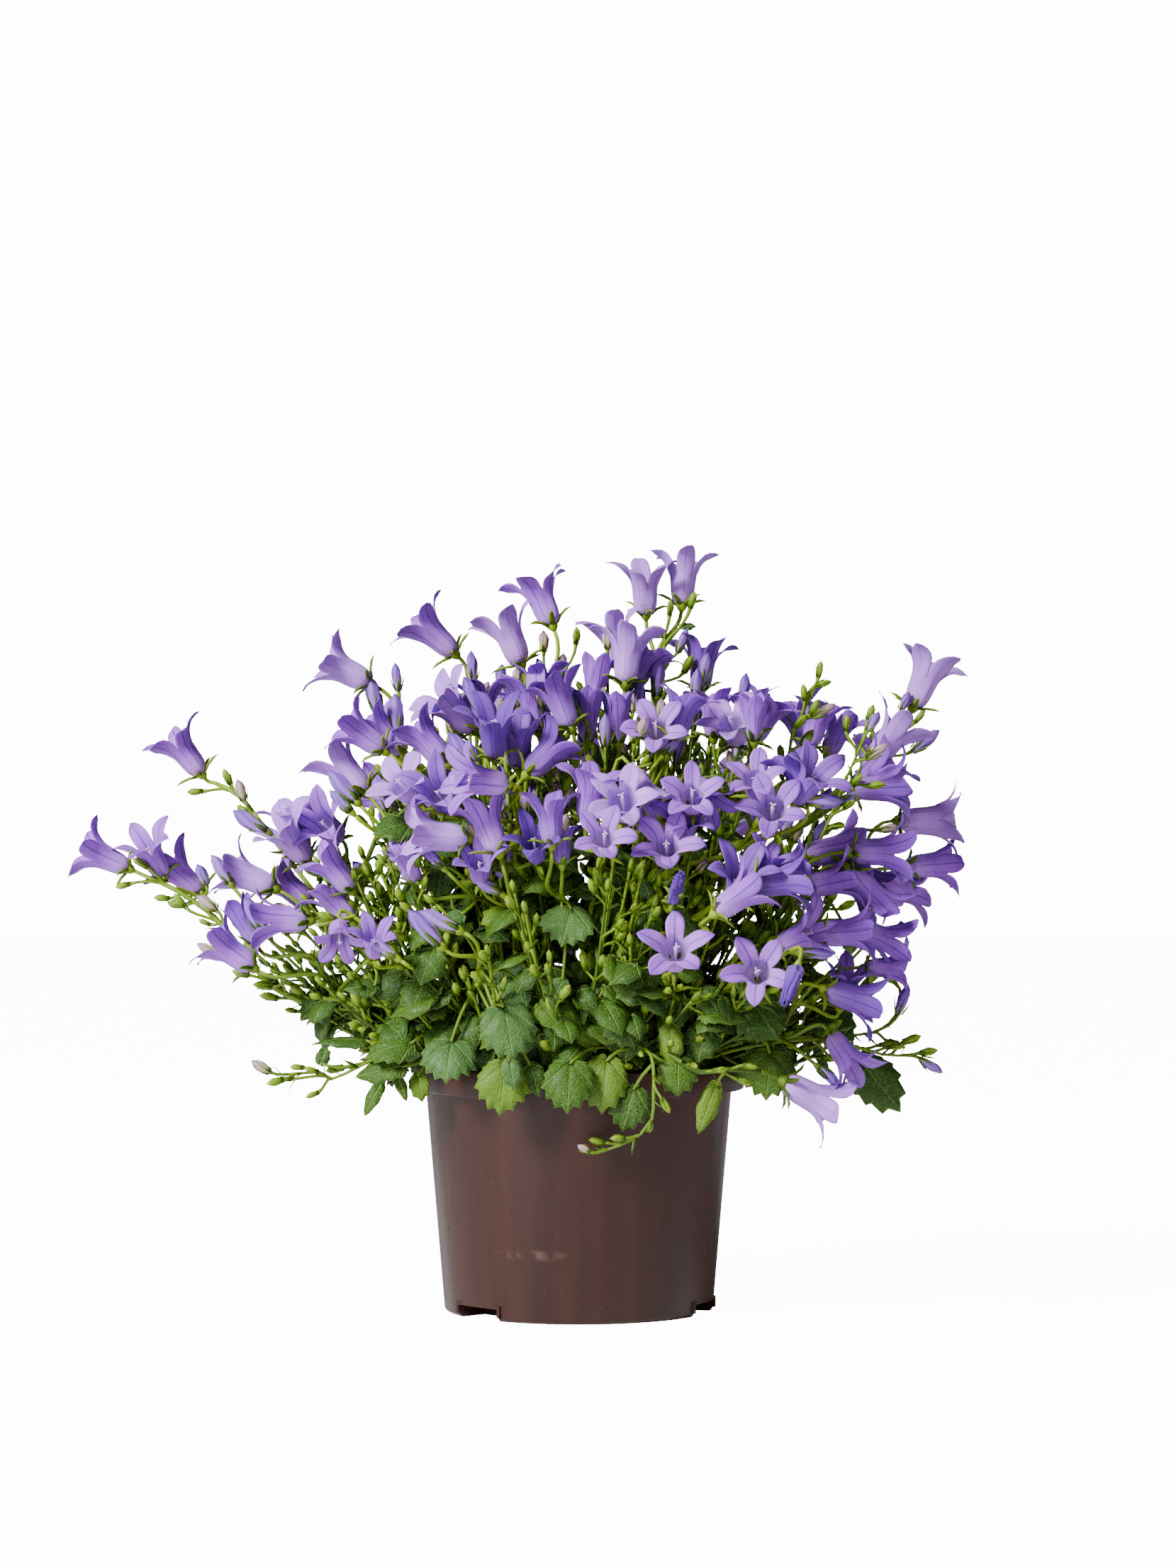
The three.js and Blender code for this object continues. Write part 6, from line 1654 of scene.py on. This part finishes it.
def petal_finish(mottle):
    """Thin lilac to violet petals: pale foot, dark line down each lobe, fine veins; painted shade darkens
    blooms that lie in shade, withered ones are darker in their own colour, and pale blooms are partly painted
    light.
    """
    material, f, shader = surface("petal", {**flesh(0.25, 0.15, (1.0, 0.6, 1.2), 0.0012),
                                            "Sheen Weight": 0.1, "Sheen Roughness": 0.4})
    along = f.times(f.note("along"), 0.5)
    across, inner, tint, deep = (f.note(n) for n in ("across", "inner", "tint", "deep"))
    colour = f.blend(inner, f.ramp(along, PETAL_OUTSIDE), f.ramp(along, PETAL_INSIDE))
    middle = f.band(across, 0.0, 0.12, 1.0, 0.0)
    fan = f.times(f.plus(across, f.times(f.noise(200, 1), 0.12)), 12.5)
    veins = f.band(f.math("ABSOLUTE", f.math("SINE", fan)), 0.0, 0.5, 1.0, 0.0)
    lines = f.math("MAXIMUM", middle, f.times(veins, 0.75))
    lined = f.blend(1.0, colour, shade("8458b4"), "MULTIPLY")
    colour = f.blend(f.times(lines, f.band(along, 0.04, 0.3, 0.2, 1.0)), colour, lined)
    # Lighter lilac by tint: at random, and for pale blooms partly painted light.
    colour = f.blend(f.band(tint, 0.4, 1.0, 0.0, 0.42), colour, shade("cc9af6"))
    colour = f.blend(f.band(tint, 0.0, 0.4, 0.4, 0.0), colour, shade("6c34ae"))
    # Painted shade: blooms that lie in shade darken towards deep violet; withered ones are darker in their
    # own colour.
    colour = f.towards(deep, 0.75, colour, "3a1484")
    colour, grain = mottled(f, mottle, colour, 90.0, 900.0, 0.25)
    relief = f.plus(f.times(lines, -0.7), f.times(grain, 0.3))
    join(f, shader, colour, f.band(grain, 0.3, 0.7, 0.48, 0.62), f.bump(relief, 0.5, 0.0003))
    return material


def pistil_finish(mottle):
    """Whitish lilac style and its arms."""
    material, f, shader = surface("pistil", flesh(0.35, 0.2, (1.0, 0.9, 0.7), 0.0006))
    colour, grain = mottled(f, mottle, shade("d4c2da"), 300.0, 1500.0, 0.25)
    join(f, shader, colour, f.band(grain, 0.3, 0.7, 0.5, 0.7), f.bump(grain, 0.4, 0.0002))
    return material


def bud_finish(mottle):
    """Green, cream or violet buds with darker grooves between their pleats."""
    material, f, shader = surface("bud", flesh(0.28, 0.15, (1.0, 0.8, 1.0), 0.0008))
    along, groove, tone, tint = (f.note(n) for n in ("along", "groove", "tone", "tint"))
    colour = f.blend(f.band(tone, 0.3, 0.7), f.ramp(along, BUD_GREEN), f.ramp(along, BUD_CREAM))
    is_violet = f.band(tone, 1.3, 1.7)
    colour = f.blend(is_violet, colour, f.ramp(along, BUD_VIOLET))
    dark = f.blend(is_violet, shade("684858"), shade("351862"))
    stripe = f.times(f.band(groove, 0.55, 0.95), f.band(tone, 0.2, 0.9, 0.15, 0.8))
    colour = f.blend(f.times(stripe, f.band(along, 0.1, 0.4)), colour, dark)
    colour = f.blend(f.times(tint, f.band(tone, 0.3, 0.9, 0.0, 0.14)), colour, shade("dcc6de"))
    colour, grain = mottled(f, mottle, colour, 200.0, 1200.0, 0.2)
    join(f, shader, colour, f.band(grain, 0.3, 0.7, 0.42, 0.6), f.bump(grain, 0.3, 0.0002))
    return material


def stalk_finish(mottle):
    """Fresh green stems, dull with fine hairs, and darker at the foot by painted shade under the leaves."""
    material, f, shader = surface("stalk", flesh(0.4, 0.12, (0.7, 1.0, 0.3), 0.0008))
    height = f.node("ShaderNodeSeparateXYZ", {0: f.point()}).outputs["Z"]
    # Painted shade: stems low in the plant, under the leaves, darkened towards deep green.
    low = f.band(height, 0.08, 0.14, 0.25, 0.0)
    colour = f.blend(low, f.ramp(f.note("tone"), STEM_GREEN), shade("1e3804"))
    colour, grain = mottled(f, mottle, colour, 70.0, 1300.0, 0.35)
    join(f, shader, colour, f.band(grain, 0.3, 0.7, 0.42, 0.62), f.bump(grain, 0.35, 0.0003))
    return material


def leaf_finish(mottle):
    """Leaves with pale veins, a duller under side and lighter edges; four tones of green, of which pale is a
    painted greyish sheen and lime partly painted light through the leaf.
    """
    material, f, shader = surface("leaf", flesh(0.24, 0.1, (0.6, 1.0, 0.3), 0.001))
    vein, edge, under, tone, tint = (f.note(n) for n in ("vein", "edge", "under", "tone", "tint"))
    share = f.times(tone, 1 / 3)
    # Leaf tones; pale is a painted sheen and lime partly painted light through the leaf.
    colour = f.blend(under, f.ramp(share, LEAF_TOP), f.ramp(share, LEAF_BELOW))
    colour = f.towards(tint, 0.25, colour, "1e4a0a")
    lines = f.band(vein, 0.03, 0.34, 1.0, 0.0)
    colour = f.towards(lines, 0.55, colour, "82a04e")
    colour = f.blend(f.band(edge, 0.93, 1.0, 0.0, 0.25), colour, shade("647e1c"))
    net = f.node("ShaderNodeTexVoronoi", {"Vector": f.point(), "Scale": 900.0}, feature="DISTANCE_TO_EDGE")
    cells = f.band(net.outputs["Distance"], 0.0, 0.18, 0.0, 1.0)
    colour = f.towards(f.math("SUBTRACT", 1.0, cells), 0.15, colour, "86aa50")
    colour, grain = mottled(f, mottle, colour, 110.0, 1000.0, 0.3)
    relief = f.plus(f.times(lines, -1.0), f.times(cells, 0.3))
    join(f, shader, colour, f.band(grain, 0.3, 0.7, 0.33, 0.5), f.bump(relief, 0.8, 0.0005))
    return material


def pot_finish(mottle):
    """Thin moulded plastic: reddish brown with upright flow streaks, scuffs, dust specks and a smudge."""
    material, f, shader = surface("pot_plastic", {"Specular IOR Level": 0.3})
    streak = f.noise(120, 3, (1.0, 1.0, 0.03))
    broad = f.noise(30, 2, (1.0, 1.0, 0.08))
    colour = f.ramp(f.plus(f.times(streak, 0.5), f.times(broad, 0.5)), POT_BROWN)
    smear = f.node("ShaderNodeMapping", {"Vector": f.point(), **SMUDGE}).outputs[0]
    far = f.node("ShaderNodeVectorMath", {0: smear}, operation="LENGTH").outputs["Value"]
    smudge = f.times(f.band(far, 0.002, 0.009, 1.0, 0.0), f.band(f.noise(240, 4), 0.42, 0.62))
    specks = f.node("ShaderNodeTexVoronoi", {"Vector": f.point(), "Scale": 210.0, "Randomness": 1.0})
    dust = f.band(specks.outputs["Distance"], 0.03, 0.08, 1.0, 0.0)
    dust = f.times(dust, f.band(f.noise(40, 3), 0.56, 0.68))
    scuff = f.band(f.noise(420, 5, (1.0, 1.0, 0.5)), 0.62, 0.75)
    colour = f.towards(smudge, 0.18, colour, "8d7468")
    colour = f.towards(dust, 0.2, colour, "a3958a")
    colour = f.towards(scuff, 0.03, colour, "8a6e62")
    colour, grain = mottled(f, mottle, colour, 25.0, 1500.0, 0.1)
    rough = f.plus(f.band(streak, 0.3, 0.7, 0.34, 0.46), f.times(f.math("MAXIMUM", smudge, scuff), 0.18))
    relief = f.plus(f.times(streak, 0.8), f.times(grain, 0.12))
    join(f, shader, colour, rough, f.bump(relief, 0.12, 0.0006))
    return material


def soil_finish(mottle):
    """Dark peaty soil with pale fibres and grains."""
    material, f, shader = surface("soil_peat", {"Specular IOR Level": 0.25})
    base = f.ramp(f.noise(160, 6, None, 0.7), SOIL_BROWN)
    colour = f.blend(f.note("pale"), base, shade("b9ac97"))
    colour, grain = mottled(f, mottle, colour, 60.0, 700.0, 0.5)
    relief = f.plus(f.noise(350, 6, None, 0.7), grain)
    join(f, shader, colour, f.band(grain, 0.3, 0.7, 0.85, 1.0), f.bump(relief, 0.9, 0.0012))
    return material


# The object.

def keep(piece, slot, *nodes):
    """A piece that rides on the part's body and stands for its nodes; its slot is not used."""
    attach(piece, BODY)
    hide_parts(*nodes)


def petals_of(name, bunch):
    """The bells and pleated buds of a bunch."""
    heap = Heap()
    # Pale blooms are partly painted light, deep ones painted shade.
    pale, deep = PALE_AND_LIT_BLOOMS.get(name, ()), PAINTED_SHADE_BLOOMS.get(name, {})
    for i, bloom in enumerate(bunch):
        withered = (name, i) in WITHERED
        if bloom["kind"] == "P" and not withered:
            add_bud(heap, bloom, BUD_LENGTH, PLEATED_FAT, 2, bloom["number"], slot=2)
        else:
            kind = "B" if bloom["kind"] == "P" else bloom["kind"]
            add_bell(heap, {**bloom, "kind": kind}, withered, i in pale, deep.get(i, 0))
    return heap


def make_object():
    outputs = {"Color": "NodeSocketColor", "Grain": "NodeSocketFloat"}
    mottle = effect("soft_mottle", MOTTLE, outputs, mottle_fill)
    petal, pistil, bud = petal_finish(mottle), pistil_finish(mottle), bud_finish(mottle)
    stalk, leaf = stalk_finish(mottle), leaf_finish(mottle)
    bunches, stems, buds, leaves = layout()
    for name, bunch in bunches.items():
        keep(petals_of(name, bunch).build(f"petals_{name}", [petal, pistil, bud]), "petals", f"bells_{name}")
    for crown in CROWNS:
        heaps = leafy_crown(crown, stems, buds, leaves, bunches)
        for heap, name, material in zip(heaps, ("stalks", "leaves", "buds"), (stalk, leaf, bud)):
            if heap.count:
                keep(heap.build(f"{name}_{crown}", [material]), "stems_and_leaves", f"stems_{crown}")
    keep(make_pot(pot_finish(mottle)), "pot", "pot")
    keep(make_soil(soil_finish(mottle)), "soil", "soil")


# The studio: pale floor, soft lights and the camera at the height of the plant's middle.

FLOOR_HALF, FLOOR_LINES = 4000, 9
# How bright the floor glows to the camera, and how bright the room is to the plant and to the camera.
FLOOR_GLOW, ROOM = 13.0, (0.11, 14.0)
# Lights: name, place, what it aims at, width, height and power, in metres and watts.
LIGHTS = [
    ("key", (-1.1, -1.1, 1.2), (0, 0, 0.15), 0.5, 0.5, 90),
    ("strip", (-1.1, -1.3, 0.12), (0, 0, 0.1), 0.3, 0.9, 7),
    ("fill", (1.2, -1.2, 0.7), (0, 0, 0.12), 1.2, 1.2, 4),
]
SENSOR = 36


def make_floor():
    """A pale floor that is white to the camera and plain to the light."""
    heap = Heap()
    line = np.linspace(-FLOOR_HALF, FLOOR_HALF, FLOOR_LINES)
    x, y = np.meshgrid(line, line)
    heap.add(np.stack([x, y, np.zeros_like(x)], -1).reshape(-1, 3), grid_faces(FLOOR_LINES, FLOOR_LINES))
    material, f, shader = surface("studio_floor", {"Roughness": 0.9, "Specular IOR Level": 0.1})
    f.tree.links.new(f.ramp(f.noise(3, 2), [(0.3, "f4f4f3"), (0.7, "f7f7f6")]), shader.inputs["Base Color"])
    glow = f.node("ShaderNodeEmission", {"Color": (1, 1, 1, 1), "Strength": FLOOR_GLOW})
    seen = f.node("ShaderNodeLightPath").outputs["Is Camera Ray"]
    lit = f.node("ShaderNodeAddShader", {0: shader.outputs[0], 1: glow.outputs[0]})
    both = f.node("ShaderNodeMixShader", {0: seen, 1: shader.outputs[0], 2: lit.outputs[0]})
    f.tree.links.new(both.outputs[0], f.tree.nodes["Material Output"].inputs[0])
    heap.build("floor", [material])


def make_light(name, at, aim, wide, tall, power):
    data = bpy.data.lights.new(name, "AREA")
    data.shape, data.size, data.size_y = "RECTANGLE", wide, tall
    data.energy = power
    light = bpy.data.objects.new(name, data)
    bpy.context.scene.collection.objects.link(light)
    light.location = at
    light.rotation_euler = (Vector(aim) - Vector(at)).to_track_quat("-Z", "Y").to_euler()


def make_room():
    """An even pale room round the plant, far brighter to the camera than to the plant."""
    world = bpy.data.worlds.new("studio")
    bpy.context.scene.world = world
    world.use_nodes = True
    f = Finish(world.node_tree)
    seen = f.node("ShaderNodeLightPath").outputs["Is Camera Ray"]
    background = world.node_tree.nodes["Background"]
    f.tree.links.new(f.band(seen, 0.0, 1.0, *ROOM, "LINEAR"), background.inputs["Strength"])
    background.inputs["Color"].default_value = (1, 1, 1, 1)


def make_camera():
    """The camera at the eye that the listed places were looked at from, framed as the picture is."""
    camera = bpy.data.objects.new("camera", bpy.data.cameras.new("camera"))
    bpy.context.scene.collection.objects.link(camera)
    camera.location = (EYE["x"] * MM, -EYE["distance"] * MM, EYE["z"] * MM)
    camera.rotation_euler = (math.pi / 2, 0, 0)
    camera.data.sensor_width = SENSOR
    camera.data.lens = SENSOR * EYE["distance"] / (PICTURE_HEIGHT * PIXEL)
    camera.data.clip_start = 0.01
    bpy.context.scene.camera = camera


make_object()
make_floor()
make_room()
for light in LIGHTS:
    make_light(*light)
make_camera()
bpy.context.view_layer.update()
